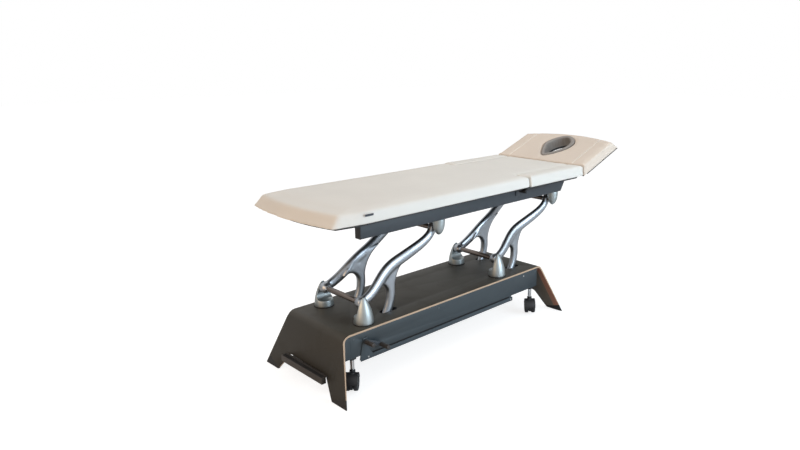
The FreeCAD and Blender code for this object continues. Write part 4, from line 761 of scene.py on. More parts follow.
def cast_copy(node: str, finish: Finish, body: str, voxel: float, rounds: int) -> Piece:
    """Stand-in for a casting with all its corners melted together.

    Args:
        node: the CAD node.
        finish: its finish.
        body: the body it rides on.
        voxel: grid size in millimetres.
        rounds: how often the surface is smoothed.

    Returns:
        The new piece.
    """
    piece = new_piece(node + "_cast", merged_copy(node))
    voxel_grid(piece, voxel)
    relax = piece.modifiers.new("relax", "SMOOTH")
    relax.factor = 0.5
    relax.iterations = rounds
    regain = piece.modifiers.new("regain", "DISPLACE")
    regain.mid_level = 0.0
    regain.strength = rounds * SMOOTH_LOSS * MM
    settle(piece)
    shade_smooth(piece)
    return finished(piece, finish, body, node)


def lathe(name: str, profile: list[tuple[float, float]], centre: Vector, axis: Vector,
          steps: int = 48) -> Piece:
    """Turn a profile about an axis.

    Args:
        name: the piece's name.
        profile: (distance along the axis, radius) in millimetres, from one end on the axis to the other.
        centre: where the axis starts.
        axis: its direction.
        steps: number of flats round it.

    Returns:
        The turned piece, closed.
    """
    body = bmesh.new()
    rows = []
    for along, radius in profile:
        row = []
        for step in range(steps if radius > 0 else 1):
            turn = 2 * math.pi * step / steps
            spot = (radius * MM * math.cos(turn), radius * MM * math.sin(turn), along * MM)
            row.append(body.verts.new(spot))
        rows.append(row)
    loft(body, rows)
    turned = axis.normalized().to_track_quat("Z", "Y").to_matrix().to_4x4()
    body.transform(Matrix.Translation(centre) @ turned)
    return from_body(name, body, 35.0)


def hull(spots: list[tuple[float, float]]) -> list[tuple[float, float]]:
    """Smallest convex outline round flat points.

    Args:
        spots: the points, sorted.

    Returns:
        The outline's corners in order.
    """
    def half_hull(points: list[tuple[float, float]]) -> list[tuple[float, float]]:
        """One side of the outline.

        Args:
            points: the points in order along that side.

        Returns:
            Its corners without the last one.
        """
        kept = []
        for point in points:
            while len(kept) > 1:
                (ax, ay), (bx, by) = kept[-2], kept[-1]
                if (bx - ax) * (point[1] - ay) - (by - ay) * (point[0] - ax) > 0:
                    break
                kept.pop()
            kept.append(point)
        return kept[:-1]

    return half_hull(spots) + half_hull(spots[::-1])


def cord(name: str, points: list[Vector], radius: float, sides: int = 8) -> Piece:
    """Round cord along a line, closed at both ends.

    Args:
        name: the piece's name.
        points: its middle line.
        radius: its radius in millimetres.
        sides: number of flats round it.

    Returns:
        The cord.
    """
    body = bmesh.new()
    rings = []
    for number, point in enumerate(points):
        before = points[max(0, number - 1)]
        after = points[min(len(points) - 1, number + 1)]
        turn = (after - before).to_track_quat("Z", "Y").to_matrix()
        ring = []
        for step in range(sides):
            angle = 2 * math.pi * step / sides
            arm = Vector((math.cos(angle), math.sin(angle), 0))
            ring.append(body.verts.new(point + turn @ arm * radius * MM))
        rings.append(ring)
    loft(body, rings)
    body.faces.new(rings[0])
    body.faces.new(rings[-1])
    return from_body(name, body, 50.0)


def plate(name: str, outline: list[tuple[float, float]], ys: tuple[float, float],
          round_off: float = 0.4) -> Piece:
    """Flat plate with a drawn side view.

    Args:
        name: the piece's name.
        outline: its corners as (x, z), in millimetres about the middle of the base.
        ys: its two faces.
        round_off: size of its rounded edges.

    Returns:
        The plate.
    """
    body = bmesh.new()
    rings = [[body.verts.new(place(x, y, z)) for x, z in outline] for y in ys]
    for ring in rings:
        body.faces.new(ring)
    loft(body, rings)
    piece = from_body(name, body, None)
    bevel = piece.modifiers.new("edges", "BEVEL")
    bevel.width = round_off * MM
    bevel.segments = 2
    settle(piece)
    smooth_by_angle(piece, SHARP_ANGLE)
    return piece


def rectangle(xs: tuple[float, float], zs: tuple[float, float]) -> list[tuple[float, float]]:
    """Corners of a rectangle in order, from its two x and its two z."""
    return [(xs[0], zs[0]), (xs[1], zs[0]), (xs[1], zs[1]), (xs[0], zs[1])]


def line_mesh(name: str, points: list[Vector], joined_up: bool = True) -> Piece:
    """Bare points, with edges from one to the next unless told otherwise, which Geometry Nodes follow.

    Args:
        name: the piece's name.
        points: the points in order.
        joined_up: whether edges run from one to the next.

    Returns:
        The new piece.
    """
    mesh = bpy.data.meshes.new(name)
    edges = [(step, step + 1) for step in range(len(points) - 1)] if joined_up else []
    mesh.from_pydata([tuple(point) for point in points], edges, [])
    return new_piece(name, mesh)


def joined(name: str, pieces: list[Piece]) -> Piece:
    """Join pieces' meshes into one new piece and remove the old ones.

    Args:
        name: the new piece's name.
        pieces: the pieces to join.

    Returns:
        The new piece.
    """
    body = bmesh.new()
    for piece in pieces:
        body.from_mesh(piece.data)
    mesh = bpy.data.meshes.new(name)
    body.to_mesh(mesh)
    body.free()
    for piece in pieces:
        bpy.data.objects.remove(piece)
    return new_piece(name, mesh)


# Geometry Nodes for what repeats

class Repeats:
    """Geometry Nodes trees that lay small shapes along a line or on points, each built once."""

    trees: dict[str, bpy.types.NodeTree] = {}

    @staticmethod
    def start(name: str, inputs: dict[str, float]) -> tuple[Net, bpy.types.NodeOutputs]:
        """Empty tree with a geometry in and out and named numbers.

        Args:
            name: the tree's name.
            inputs: named sizes and their usual values.

        Returns:
            The net and what its input node gives.
        """
        net = Net(bpy.data.node_groups.new(name, "GeometryNodeTree"))
        sockets = net.tree.interface
        sockets.new_socket("Geometry", in_out="INPUT", socket_type="NodeSocketGeometry")
        for key, value in inputs.items():
            sockets.new_socket(key, in_out="INPUT", socket_type="NodeSocketFloat").default_value = value
        sockets.new_socket("Geometry", in_out="OUTPUT", socket_type="NodeSocketGeometry")
        return net, net.add("NodeGroupInput").outputs

    @staticmethod
    def close(net: Net, points: Socket, shape: Socket, turn: Socket | None,
              finish: Finish) -> bpy.types.NodeTree:
        """Put a shape on points and end the tree in real geometry with its material.

        Args:
            net: the tree's net.
            points: where the shapes go.
            shape: what is laid there.
            turn: how each is turned, if at all.
            finish: what they are made of.

        Returns:
            The tree.
        """
        turned = {} if turn is None else {"Rotation": turn}
        laid = net.fed("GeometryNodeInstanceOnPoints", {"Points": points, "Instance": shape, **turned})
        real = net.fed("GeometryNodeRealizeInstances", {0: laid})
        made = net.fed("GeometryNodeSetMaterial", {"Geometry": real, "Material": finish.material()})
        net.feed(net.add("NodeGroupOutput").inputs[0], made)
        return net.tree

    @staticmethod
    def spaced(net: Net, given: bpy.types.NodeOutputs) -> Socket:
        """Points at the tree's pitch along the line that it is given."""
        curve = net.fed("GeometryNodeMeshToCurve", {0: given["Geometry"]})
        return net.fed("GeometryNodeResampleCurve", {"Curve": curve, "Length": given["Pitch"]}, mode="LENGTH")

    @classmethod
    def stitches(cls, finish: Finish) -> bpy.types.NodeTree:
        """Short threads laid end to end along a line.

        Args:
            finish: what they are made of.

        Returns:
            The tree.
        """
        net, given = cls.start("stitches", {"Pitch": 0.007, "Length": 0.0045, "Radius": 0.0006})
        sizes = {"Vertices": 6, "Radius": given["Radius"], "Depth": given["Length"]}
        thread = net.fed("GeometryNodeMeshCylinder", sizes)
        along = net.fed("GeometryNodeInputTangent", {})
        turn = net.fed("FunctionNodeAlignEulerToVector", {"Vector": along}, axis="Z")
        return cls.close(net, cls.spaced(net, given), thread, turn, finish)

    @classmethod
    def screws(cls, finish: Finish) -> bpy.types.NodeTree:
        """Button-head screws with a hexagon socket in their top half, facing away from the middle plane.

        Args:
            finish: what they are made of.

        Returns:
            The tree.
        """
        net, given = cls.start("screws", {"Radius": 0.004, "Height": 0.0016})
        radius, height = given["Radius"], given["Height"]
        head = net.fed("GeometryNodeMeshCone", {"Vertices": 24, "Radius Bottom": radius, "Depth": height,
                                                "Radius Top": net.math("MULTIPLY", radius, 0.62)})
        inner, deep = net.math("MULTIPLY", radius, 0.42), net.math("MULTIPLY", height, 3.0)
        socket = net.fed("GeometryNodeMeshCylinder", {"Vertices": 6, "Radius": inner, "Depth": deep})
        offset = net.fed("ShaderNodeCombineXYZ", {2: net.math("MULTIPLY", height, 2.0)})
        lifted = net.fed("GeometryNodeTransform", {"Geometry": socket, "Translation": offset})
        meshes = {"Mesh 1": head, "Mesh 2": lifted}
        hollow = net.fed("GeometryNodeMeshBoolean", meshes, operation="DIFFERENCE")
        where = net.parts(net.fed("GeometryNodeInputPosition", {}))
        side = net.fed("ShaderNodeCombineXYZ", {1: net.math("SIGN", where[1])})
        turn = net.fed("FunctionNodeAlignEulerToVector", {"Vector": side}, axis="Z")
        return cls.close(net, given["Geometry"], hollow, turn, finish)

    @classmethod
    def ribs(cls, finish: Finish) -> bpy.types.NodeTree:
        """Low ribs laid side by side along a line, each lying along X.

        Args:
            finish: what they are made of.

        Returns:
            The tree.
        """
        net, given = cls.start("ribs", {"Pitch": 0.006, "Width": 0.003, "Depth": 0.02, "Height": 0.001})
        size = net.fed("ShaderNodeCombineXYZ", {0: given["Depth"], 1: given["Width"], 2: given["Height"]})
        rib = net.fed("GeometryNodeMeshCube", {"Size": size})
        return cls.close(net, cls.spaced(net, given), rib, None, finish)

    @classmethod
    def grow(cls, piece: Piece, kind: str, finish: Finish, **sizes: float) -> None:
        """Run a tree on a piece and keep the result as its mesh.

        Args:
            piece: line or points that the tree reads.
            kind: the tree: stitches, screws or ribs.
            finish: what the result is made of.
            sizes: values for the tree's named inputs, in metres.
        """
        if kind not in cls.trees:
            cls.trees[kind] = getattr(cls, kind)(finish)
        tree = cls.trees[kind]
        modifier = piece.modifiers.new("repeats", "NODES")
        modifier.node_group = tree
        for item in tree.interface.items_tree:
            if item.item_type == "SOCKET" and item.in_out == "INPUT" and item.name in sizes:
                modifier[item.identifier] = sizes[item.name]
        settle(piece)
        finish.dress(piece)


# Upholstery

@dataclass(frozen=True)
class Seam:
    """A straight seam pressed into a cushion.

    Attributes:
        start: first end.
        end: second end.
        up: which way the surface faces there.
    """

    start: Vector
    end: Vector
    up: Vector

    def distance(self, point: Vector) -> float:
        """Distance of a point from the seam, as seen along its own up direction.

        Args:
            point: a point of the cushion.

        Returns:
            The distance in metres.
        """
        along = self.end - self.start
        offset = point - self.start
        share = max(0.0, min(1.0, offset.dot(along) / along.length_squared))
        gap = offset - along * share
        return (gap - self.up * gap.dot(self.up)).length

    def covers(self, point: Vector) -> bool:
        """Whether a point lies near the seam's surface and not on the other side of the cushion."""
        return abs((point - self.start).dot(self.up)) < SEAM_REACH


@dataclass(frozen=True)
class Gap:
    """Box in which a cushion's cover faces another one, so that it may only move up there.

    Attributes:
        xs: range along the couch, in millimetres about the middle of the base.
        ys: range of the distance from the couch's middle plane.
    """

    xs: tuple[float, float]
    ys: tuple[float, float] = (0.0, 400.0)

    def holds(self, point: Vector) -> bool:
        """Whether a point lies in the box.

        Args:
            point: the point to try.

        Returns:
            True if it does.
        """
        x = (point.x - SHIFT_X) / MM
        y = abs(point.y) / MM
        return self.xs[0] <= x <= self.xs[1] and self.ys[0] <= y <= self.ys[1]


@dataclass
class Cushion:
    """An upholstered pad on its board.

    Attributes:
        node: CAD node that it replaces.
        body: body that it rides on.
        finish: its cover.
        up: direction its top faces.
        voxel: grid size in millimetres.
        swell: how far a point may move when it is filled, in millimetres.
        fill: how tight it is; not used.
        seams: seams pressed into its top.
        gaps: where it faces another cushion.
        shrink: how far the cover is drawn in before it is filled, in millimetres.
        pressure: how hard it is filled.
        frames: steps of the filling.
        crease_width: half width of a seam's valley, in millimetres.
        crease_depth: its depth.
        rim: height of the lower edge that keeps its outline, in millimetres.
        rim_softness: how much of the smoothing that edge gets.
        rounds: how often the cover is smoothed.
    """

    node: str
    body: str
    finish: Finish
    up: Vector
    voxel: float = 6.0
    swell: float = 5.0
    fill: float = 0.85
    seams: tuple[Seam, ...] = ()
    gaps: tuple[Gap, ...] = ()
    shrink: float = 1.5
    pressure: float = 4.0
    frames: int = 20
    crease_width: float = 4.0
    crease_depth: float = 3.0
    rim: float = 14.0
    rim_softness: float = 0.15
    rounds: int = 5

    def build(self) -> Piece:
        """Make the pad from its solid: grid, filling, smoothing, seams and cover.

        Returns:
            The finished cover.
        """
        piece = new_piece(self.node + "_cover", merged_copy(self.node))
        voxel_grid(piece, self.voxel)
        settle(piece)
        self.draw_in(piece)
        rest = [vertex.co.copy() for vertex in piece.data.vertices]
        self.fill_up(piece)
        self.hold(piece, rest)
        self.relax(piece)
        self.press_seams(piece)
        shade_smooth(piece)
        finished(piece, self.finish, self.body, self.node)
        return piece

    def height(self, point: Vector) -> float:
        """How high a point is, the way the cushion faces."""
        return point.dot(self.up)

    def lowest(self, piece: Piece) -> float:
        """Height of a piece's lowest point."""
        return min(self.height(vertex.co) for vertex in piece.data.vertices)

    def draw_in(self, piece: Piece) -> None:
        """Shrink the sides and top a little before the filling swells them.

        Args:
            piece: the cover.
        """
        normals = [vertex.normal.copy() for vertex in piece.data.vertices]
        rim = self.lowest(piece) + self.rim * MM
        for vertex, normal in zip(piece.data.vertices, normals):
            if self.height(vertex.co) > rim and normal.dot(self.up) > -0.5 and not self.faces_gap(vertex.co):
                vertex.co -= normal * self.shrink * MM

    def faces_gap(self, point: Vector) -> bool:
        """Whether a point lies beside another cushion."""
        return any(gap.holds(point) for gap in self.gaps)

    def fill_up(self, piece: Piece) -> None:
        """Swell the pad with the cloth solver, its underside held on the board.

        Args:
            piece: the cover.
        """
        floor = self.lowest(piece) + self.voxel * MM
        held = [vertex.index for vertex in piece.data.vertices if self.height(vertex.co) < floor]
        group = piece.vertex_groups.new(name="board")
        group.add(held, 1.0, "REPLACE")
        cloth = piece.modifiers.new("cover", "CLOTH")
        stiffness = {"tension_stiffness": 25.0, "compression_stiffness": 25.0, "bending_stiffness": 2.0}
        filling = {"use_pressure": True, "uniform_pressure_force": self.pressure, "quality": 4}
        for key, value in {"vertex_group_mass": group.name, **filling, **stiffness}.items():
            setattr(cloth.settings, key, value)
        cloth.settings.effector_weights.gravity = 0.0
        cloth.point_cache.frame_start = 1
        cloth.point_cache.frame_end = self.frames
        for frame in range(1, self.frames + 1):
            bpy.context.scene.frame_set(frame)
        settle(piece)
        bpy.context.scene.frame_set(1)

    def hold(self, piece: Piece, rest: list[Vector]) -> None:
        """Keep each point within the swell of where it started, and off the board.

        Args:
            piece: the cover after filling.
            rest: where its points were before.
        """
        cap = self.swell * MM
        for vertex, start in zip(piece.data.vertices, rest):
            move = vertex.co - start
            if self.faces_gap(start):
                move = self.up * max(0.0, move.dot(self.up))
                vertex.co = start + move
            if move.length > cap:
                vertex.co = start + move * (cap / move.length)
            sink = self.height(start) - self.height(vertex.co)
            if sink > 0:
                vertex.co += self.up * sink

    def relax(self, piece: Piece) -> None:
        """Smooth the grid's steps, the lower edge least, and subdivide once.

        Args:
            piece: the cover.
        """
        rim = self.lowest(piece) + self.rim * MM
        soft = piece.vertex_groups.new(name="soft")
        for vertex in piece.data.vertices:
            soft.add([vertex.index], 1.0 if self.height(vertex.co) > rim else self.rim_softness, "REPLACE")
        modifier = piece.modifiers.new("relax", "SMOOTH")
        modifier.factor = 0.5
        modifier.iterations = self.rounds
        modifier.vertex_group = soft.name
        finer = piece.modifiers.new("finer", "SUBSURF")
        finer.levels = 1
        finer.render_levels = 1
        settle(piece)

    def press_seams(self, piece: Piece) -> None:
        """Press each seam into the top as a narrow valley.

        Args:
            piece: the cover.
        """
        width = self.crease_width * MM
        for seam in self.seams:
            for vertex in piece.data.vertices:
                if not seam.covers(vertex.co):
                    continue
                gap = seam.distance(vertex.co)
                if gap < 3 * width:
                    vertex.co -= seam.up * self.crease_depth * MM * math.exp(-((gap / width) ** 2))
        piece.data.update()


@dataclass
class Upholstery:
    """All cushions of the couch top, with their seams, threads and side tab.

    Attributes:
        top: height of the main cushion's top.
        tilt: tilt of the headrest at rest, in degrees.
        hinge: x of the headrest's hinge line on top.
        seam_y: side distance of the headrest's long seams.
        pad_x: x of the side pads' foot ends.
        pad_y: side distance of the side pads' inner edges.
        cord_radius: radius of the cords sewn on, in millimetres.
        trim_start: where the headrest's edge strip starts, from its hinge end.
        step_up: how far the headrest's top stands above the main cushion's at the hinge.
        seam_length: length of those seams.
        stitch_row: distance of a row of stitches from its seam.
        steps: points along a seam.
        highlight_cord_steps: points along a side pad's piping.
    """

    top: float = 822.0
    tilt: float = 20.5
    hinge: float = 908.0
    seam_y: float = 232.0
    pad_x: float = 431.0
    pad_y: float = 225.0
    # cord_radius: radius of the pale cords, in millimetres.
    cord_radius: float = 1.8
    trim_start: float = 30.0
    step_up: float = 3.5
    seam_length: float = 340.0
    stitch_row: float = 4.5
    # highlight_cord_steps: points along the pale cord beside a side pad.
    steps: int = 40
    highlight_cord_steps: int = 47

    def head_point(self, along: float, y: float) -> Vector:
        """Point on the headrest's top, by its distance from the hinge line."""
        turn = math.radians(self.tilt)
        return place(self.hinge + along * math.cos(turn), y, self.top + self.step_up + along * math.sin(turn))

    def head_up(self) -> Vector:
        """Direction the headrest faces."""
        turn = math.radians(self.tilt)
        return Vector((-math.sin(turn), 0, math.cos(turn)))

    def build(self) -> None:
        """Make every cushion."""
        upright = Vector((0, 0, 1))
        step = Gap((self.pad_x - 8, self.pad_x + 1), (self.pad_y, 400))
        beside = Gap((self.pad_x, 1000), (self.pad_y - 8, self.pad_y + 1))
        hinge = Gap((self.hinge - 14, self.hinge))
        main = Cushion("main_cushion", "top_frame", Paint.cream, upright, voxel=7.0, swell=4.5,
                       gaps=(step, beside, hinge), rim_softness=0.5, rounds=30)
        main.build()
        pad_gaps = (Gap((self.pad_x, self.pad_x + 11)), Gap((0, 1000), (self.pad_y, self.pad_y + 11)), hinge)
        for side in SIDES:
            Cushion("pad_cushion_" + side, "pad_" + side, Paint.cream, upright, voxel=4.5, swell=3.0,
                    gaps=pad_gaps).build()
            self.highlight_cord(side)
        up = self.head_up()
        seams = []
        for sign in (-1, 1):
            y = sign * self.seam_y
            seams.append(Seam(self.head_point(2, y), self.head_point(self.seam_length, y), up))
        Cushion("head_cushion", "headrest", Paint.beige, up, voxel=4.5, swell=3.5, seams=tuple(seams),
                gaps=(Gap((self.hinge - 10, self.hinge + 14)),)).build()
        Cushion("face_rim", "headrest", Paint.rim, up, voxel=3.0, swell=2.5, shrink=0.5, rim=2.0).build()
        self.head_trim(up)
        for number, seam in enumerate(seams):
            self.thread("head_thread_%d" % number, seam)
        softened("side_tag", Paint.tag, "top_frame", 0.2, 1)

    def highlight_cord(self, side: str) -> None:
        """Pale cord along the edge that the main cushion shares with a side pad: a painted highlight,
        standing in for the light caught by the gap's rounded edges.

        Args:
            side: near or far.
        """
        y = SIDE_SIGN[side] * (self.pad_y - 3.5)
        points = []
        for step in range(self.highlight_cord_steps + 1):
            x = self.pad_x + 6 + (self.hinge - 20 - self.pad_x) * step / self.highlight_cord_steps
            points.append(self.on_cover("main_cushion_cover", place(x, y, self.top), Vector((0, 0, 1))))
        # painted highlight: a pale cord, brighter than the cover, along the gap
        finished(cord("edge_piping_" + side, points, self.cord_radius * 1.4), Paint.thread, "top_frame")

    def head_trim(self, up: Vector) -> None:
        """Black edge strip under the headrest's cushion, round its board.

        Args:
            up: direction the headrest faces.
        """
        along = Vector((up.z, 0, -up.x))
        mesh = merged_copy("head_cushion")
        low = min(vertex.co.dot(up) for vertex in mesh.vertices)
        spots = {(round(vertex.co.dot(along), 5), round(vertex.co.y, 5)) for vertex in mesh.vertices
                 if vertex.co.dot(up) < low + 0.0005}
        outline = hull(sorted(spots))
        start = min(spot[0] for spot in outline) + self.trim_start * MM
        end = max(spot[0] for spot in outline)
        half = max(spot[1] for spot in outline)
        middle = (start + end) / 2
        body = bmesh.new()
        rings = []
        for inset, drop in ((1.5, 0.3), (1.5, 4.5), (21.0, 4.5), (21.0, 0.3)):
            ring = []
            for reach, side in outline:
                kept = max(reach, start)
                shrunk = middle + (kept - middle) * (1 - inset * MM / (end - middle))
                narrowed = side * (1 - inset * MM / half)
                spot = along * shrunk + Vector((0, narrowed, 0)) + up * (low - drop * MM)
                ring.append(body.verts.new(spot))
            rings.append(ring)
        loft(body, rings, True)
        bmesh.ops.remove_doubles(body, verts=body.verts, dist=0.00002)
        piece = from_body("head_trim", body)
        finished(piece, Paint.board, "headrest")

    def thread(self, name: str, seam: Seam) -> None:
        """Pale cord in a seam, with a row of stitches on each side of it; the cord's pale colour is partly
        painted highlight along the seam's lit edge.

        Args:
            name: start of the pieces' names.
            seam: the seam that they follow.
        """
        line = [seam.start.lerp(seam.end, 0.02 + 0.96 * step / self.steps) for step in range(self.steps + 1)]
        points = [self.on_cover("head_cushion_cover", point, seam.up) for point in line]
        finished(cord(name + "_cord", points, self.cord_radius), Paint.thread, "headrest")
        rows = []
        for offset in (-self.stitch_row, self.stitch_row):
            beside = [point + Vector((0, offset * MM, 0)) for point in line]
            rows.append(line_mesh("row", [self.on_cover("head_cushion_cover", p, seam.up) for p in beside]))
        piece = joined(name, rows)
        Repeats.grow(piece, "stitches", Paint.thread)
        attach(piece, "headrest")

    @staticmethod
    def on_cover(name: str, point: Vector, up: Vector) -> Vector:
        """Point of a cushion's cover straight below a point.

        Args:
            name: the cushion's piece.
            point: point near its top.
            up: direction that the top faces.

        Returns:
            The point on the cover.
        """
        cover = bpy.data.objects[name]
        hit, where, _, _ = cover.ray_cast(point + up * 0.03, -up)
        return where + up * 0.0003 if hit else point


# Base

@dataclass
class Base:
    """Plywood bridge with its panels, strips, feet, screws and tread bar.

    Attributes:
        strip_screws: x of the screws on each lower strip.
        panel_screws: x of the painted screws on each side panel.
        bright_screw: x of its one bare screw.
        strip_z: height of the strip screws.
        panel_z: height of the panel screws.
        strip_face: y of the strip's outer face.
        panel_face: y of the panel's outer face.
        panel_half: half length of a side panel.
        panel_bottom: height of its lower edge.
        sill_xs: where the dark strips run that stand in for the shade in the gap between panel and strip.
        leg_foot_x: how far out a leg's outer face is on the floor.
        lean: how far a leg leans, per unit of height.
        ply_thick: thickness of the plywood.
        top: height of its top.
        bend_radius: outer radius of its bends.
        flange_xs: from the tread bar's back to the plywood.
        shade_plate_end: how far the dark plate behind it reaches in; the plate is painted shade, standing in
            for the shade under the base.
        shade_plate_half: half width of that plate.
    """

    strip_screws: tuple[float, ...] = (-550.0, 413.0)
    panel_screws: tuple[float, ...] = (-624.0, -120.0, 624.0)
    bright_screw: float = 525.0
    strip_z: float = 138.0
    panel_z: float = 240.0
    strip_face: float = 217.4
    panel_face: float = 213.0
    panel_half: float = 642.0
    panel_bottom: float = 155.0
    sill_xs: tuple[float, float] = (-580.0, 415.0)
    leg_foot_x: float = 751.0
    lean: float = 0.28
    ply_thick: float = 9.0
    top: float = 269.0
    bend_radius: float = 42.0
    flange_xs: tuple[float, float] = (-740.0, -728.0)
    shade_plate_end: float = -694.0
    shade_plate_half: float = 131.0

    def build(self) -> None:
        """Dress the base."""
        softened("ply_shell", Paint.ply, "base", 0.7, 2, 40.0)
        soft = {"foot_caps": (Paint.rubber, 1.2), "side_panels": (Paint.panel, 0.5),
                "lower_rails": (Paint.strip, 0.7), "pedestal_gaskets": (Paint.rubber, 0.6),
                "control_box": (Paint.plastic, 1.0), "mains_inlet": (Paint.plastic, 0.5)}
        for node, (finish, width) in soft.items():
            softened(node, finish, "base", width)
        softened("chassis_frame", Paint.chassis, "base", 0.6, 1)
        Paint.plastic.dress(FRAME["nodes"]["slot_liners"])
        self.panel_ends()
        self.gap_shade_strips()
        self.screws()
        self.inlet_pins()
        self.tread_bar()

    def panel_ends(self) -> None:
        """Wings that carry the side panels on to the foot-end bend."""
        inner = self.leg_foot_x - self.ply_thick * math.hypot(1, self.lean) - 1.0
        top = self.top - self.ply_thick - 1.0
        low = self.panel_bottom
        outline = [(-self.panel_half, low), (-(inner - self.lean * low), low)]
        for step in range(6):
            turn = math.radians(15 + 15 * step)
            radius = self.bend_radius - self.ply_thick - 1.0
            reach = inner - self.lean * (top - radius) - radius
            outline.append((-(reach + radius * math.cos(turn)), top - radius + radius * math.sin(turn)))
        outline.append((-self.panel_half, top))
        self.pair("panel_wing", outline, (2.2, 0.2), Paint.panel)

    def pair(self, name: str, outline: list[tuple[float, float]], insets: tuple[float, float],
             finish: Finish) -> None:
        """One plate on each side, behind the panels' outer faces.

        Args:
            name: start of the pieces' names.
            outline: the plates' corners as (x, z).
            insets: how far their two faces lie behind the panels' faces.
            finish: their finish.
        """
        for side in SIDES:
            near, far = (SIDE_SIGN[side] * (self.panel_face - inset) for inset in insets)
            finished(plate("%s_%s" % (name, side), outline, (near, far)), finish, "base")

    def gap_shade_strips(self) -> None:
        """Dark strips behind the gap between panel and lower strip, standing in for the shade inside the gap:
        painted shade.
        """
        low, high = self.strip_z - 4, self.panel_bottom + 14
        self.pair("sill", rectangle(self.sill_xs, (low, high)), (5.5, 3.0), Paint.rubber)

    def screws(self) -> None:
        """Button-head screws of the panels and strips."""
        strips = [(x, self.strip_face, self.strip_z) for x in self.strip_screws]
        bare = strips + [(self.bright_screw, self.panel_face, self.panel_z)]
        painted = [(x, self.panel_face, self.panel_z) for x in self.panel_screws]
        for name, spots, finish in (("screw_heads", bare, Paint.screw),
                                    ("panel_heads", painted, Paint.painted_screw)):
            points = [place(x, sign * y, z) for x, y, z in spots for sign in (-1, 1)]
            piece = line_mesh(name, points, False)
            Repeats.grow(piece, "screws", finish, Radius=0.0042, Height=0.0018)
            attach(piece, "base")
            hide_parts("panel_screws")

    def inlet_pins(self) -> None:
        """Three metal pins inside the mains inlet."""
        low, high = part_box("mains_inlet")
        middle = (low + high) / 2
        pins = []
        for step in (-1, 0, 1):
            raised = 0.003 if step == 0 else -0.001
            foot = Vector((middle.x + step * 0.007, low.y + 0.0008, middle.z + raised))
            pins.append(lathe("pin", [(0, 0), (0, 1.1), (1.7, 1.1), (2.0, 0)], foot, Vector((0, 1, 0)), 12))
        finished(joined("inlet_pins", pins), Paint.screw, "base")

    def tread_bar(self) -> None:
        """Foot-end tread bar with a ribbed grip."""
        softened("foot_end_bar", Paint.bar, "foot_bar", 1.0)
        low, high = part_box("foot_end_bar")
        end = high.z / MM
        flange = rectangle(self.flange_xs, (end - 3, end))
        # painted shade: a dark plate behind the flange hides the floor there, standing in for the shade under
        # the base
        shade_plate = rectangle((self.flange_xs[0] + 2, self.shade_plate_end), (end - 12, end - 8))
        for name, outline, ys in (("tread_flange", flange, (low.y / MM, high.y / MM)),
                                  ("tread_shelf", shade_plate, (-self.shade_plate_half, self.shade_plate_half))):
            finished(plate(name, outline, ys, 0.5), Paint.bar, "foot_bar")
        front = low.x + 0.011
        points = [Vector((front, low.y + 0.008 + step * 0.0306, high.z + 0.0003)) for step in range(11)]
        grip = line_mesh("tread_ribs", points)
        Repeats.grow(grip, "ribs", Paint.rubber, Pitch=0.006, Width=0.003, Depth=0.017, Height=0.0016)
        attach(grip, "foot_bar")


# Lift

@dataclass
class Lift:
    """Pedestals, arms, shafts, brackets and the drive under the plywood."""

    arm_voxel: float = 2.6
    pedestal_voxel: float = 1.6

    def build(self) -> None:
        """Dress the lift."""
        for end in ENDS:
            body = "lift_" + end
            for side in SIDES:
                cast_copy("lift_arm_%s_%s" % (end, side), Paint.alloy, body, self.arm_voxel, 55)
                cast_copy("pedestal_%s_%s" % (end, side), Paint.satin_alloy, "base", self.pedestal_voxel, 1)
            softened("cross_tubes_" + end, Paint.tube_painted_warm_reflection, body, 0.5)
        cast_copy("top_brackets", Paint.satin_alloy, "top_frame", self.pedestal_voxel, 3)
        softened("joint_covers", Paint.plastic, "top_frame", 1.5, 3)
        softened("actuator_housing", Paint.plastic, "base", 0.8)
        softened("actuator_rod", Paint.tube_painted_warm_reflection, "drive_rod", 0.5)
        softened("tie_rod", Paint.tube_painted_warm_reflection, "arm_tie", 0.5)


# Top frame

@dataclass
class TopFrame:
    """Rails, boards and hinges that carry the cushions."""

    def build(self) -> None:
        """Dress the top frame."""
        for side in SIDES:
            softened("top_rail_" + side, Paint.rail, "top_frame", 2.0, 3)
            softened("pad_board_" + side, Paint.board, "pad_" + side, 0.8)
        softened("rail_end_caps", Paint.plastic, "top_frame", 0.6)
        softened("cross_members", Paint.rail, "top_frame", 1.5)
        softened("main_board", Paint.board, "top_frame", 1.2)
        softened("head_hinge_lugs", Paint.rail, "top_frame", 0.6)
        softened("pad_hinge_brackets", Paint.rail, "top_frame", 0.6)
        softened("head_frame", Paint.rail, "headrest", 0.8)
        softened("head_board", Paint.board, "headrest", 1.2)


# Castors and pedal

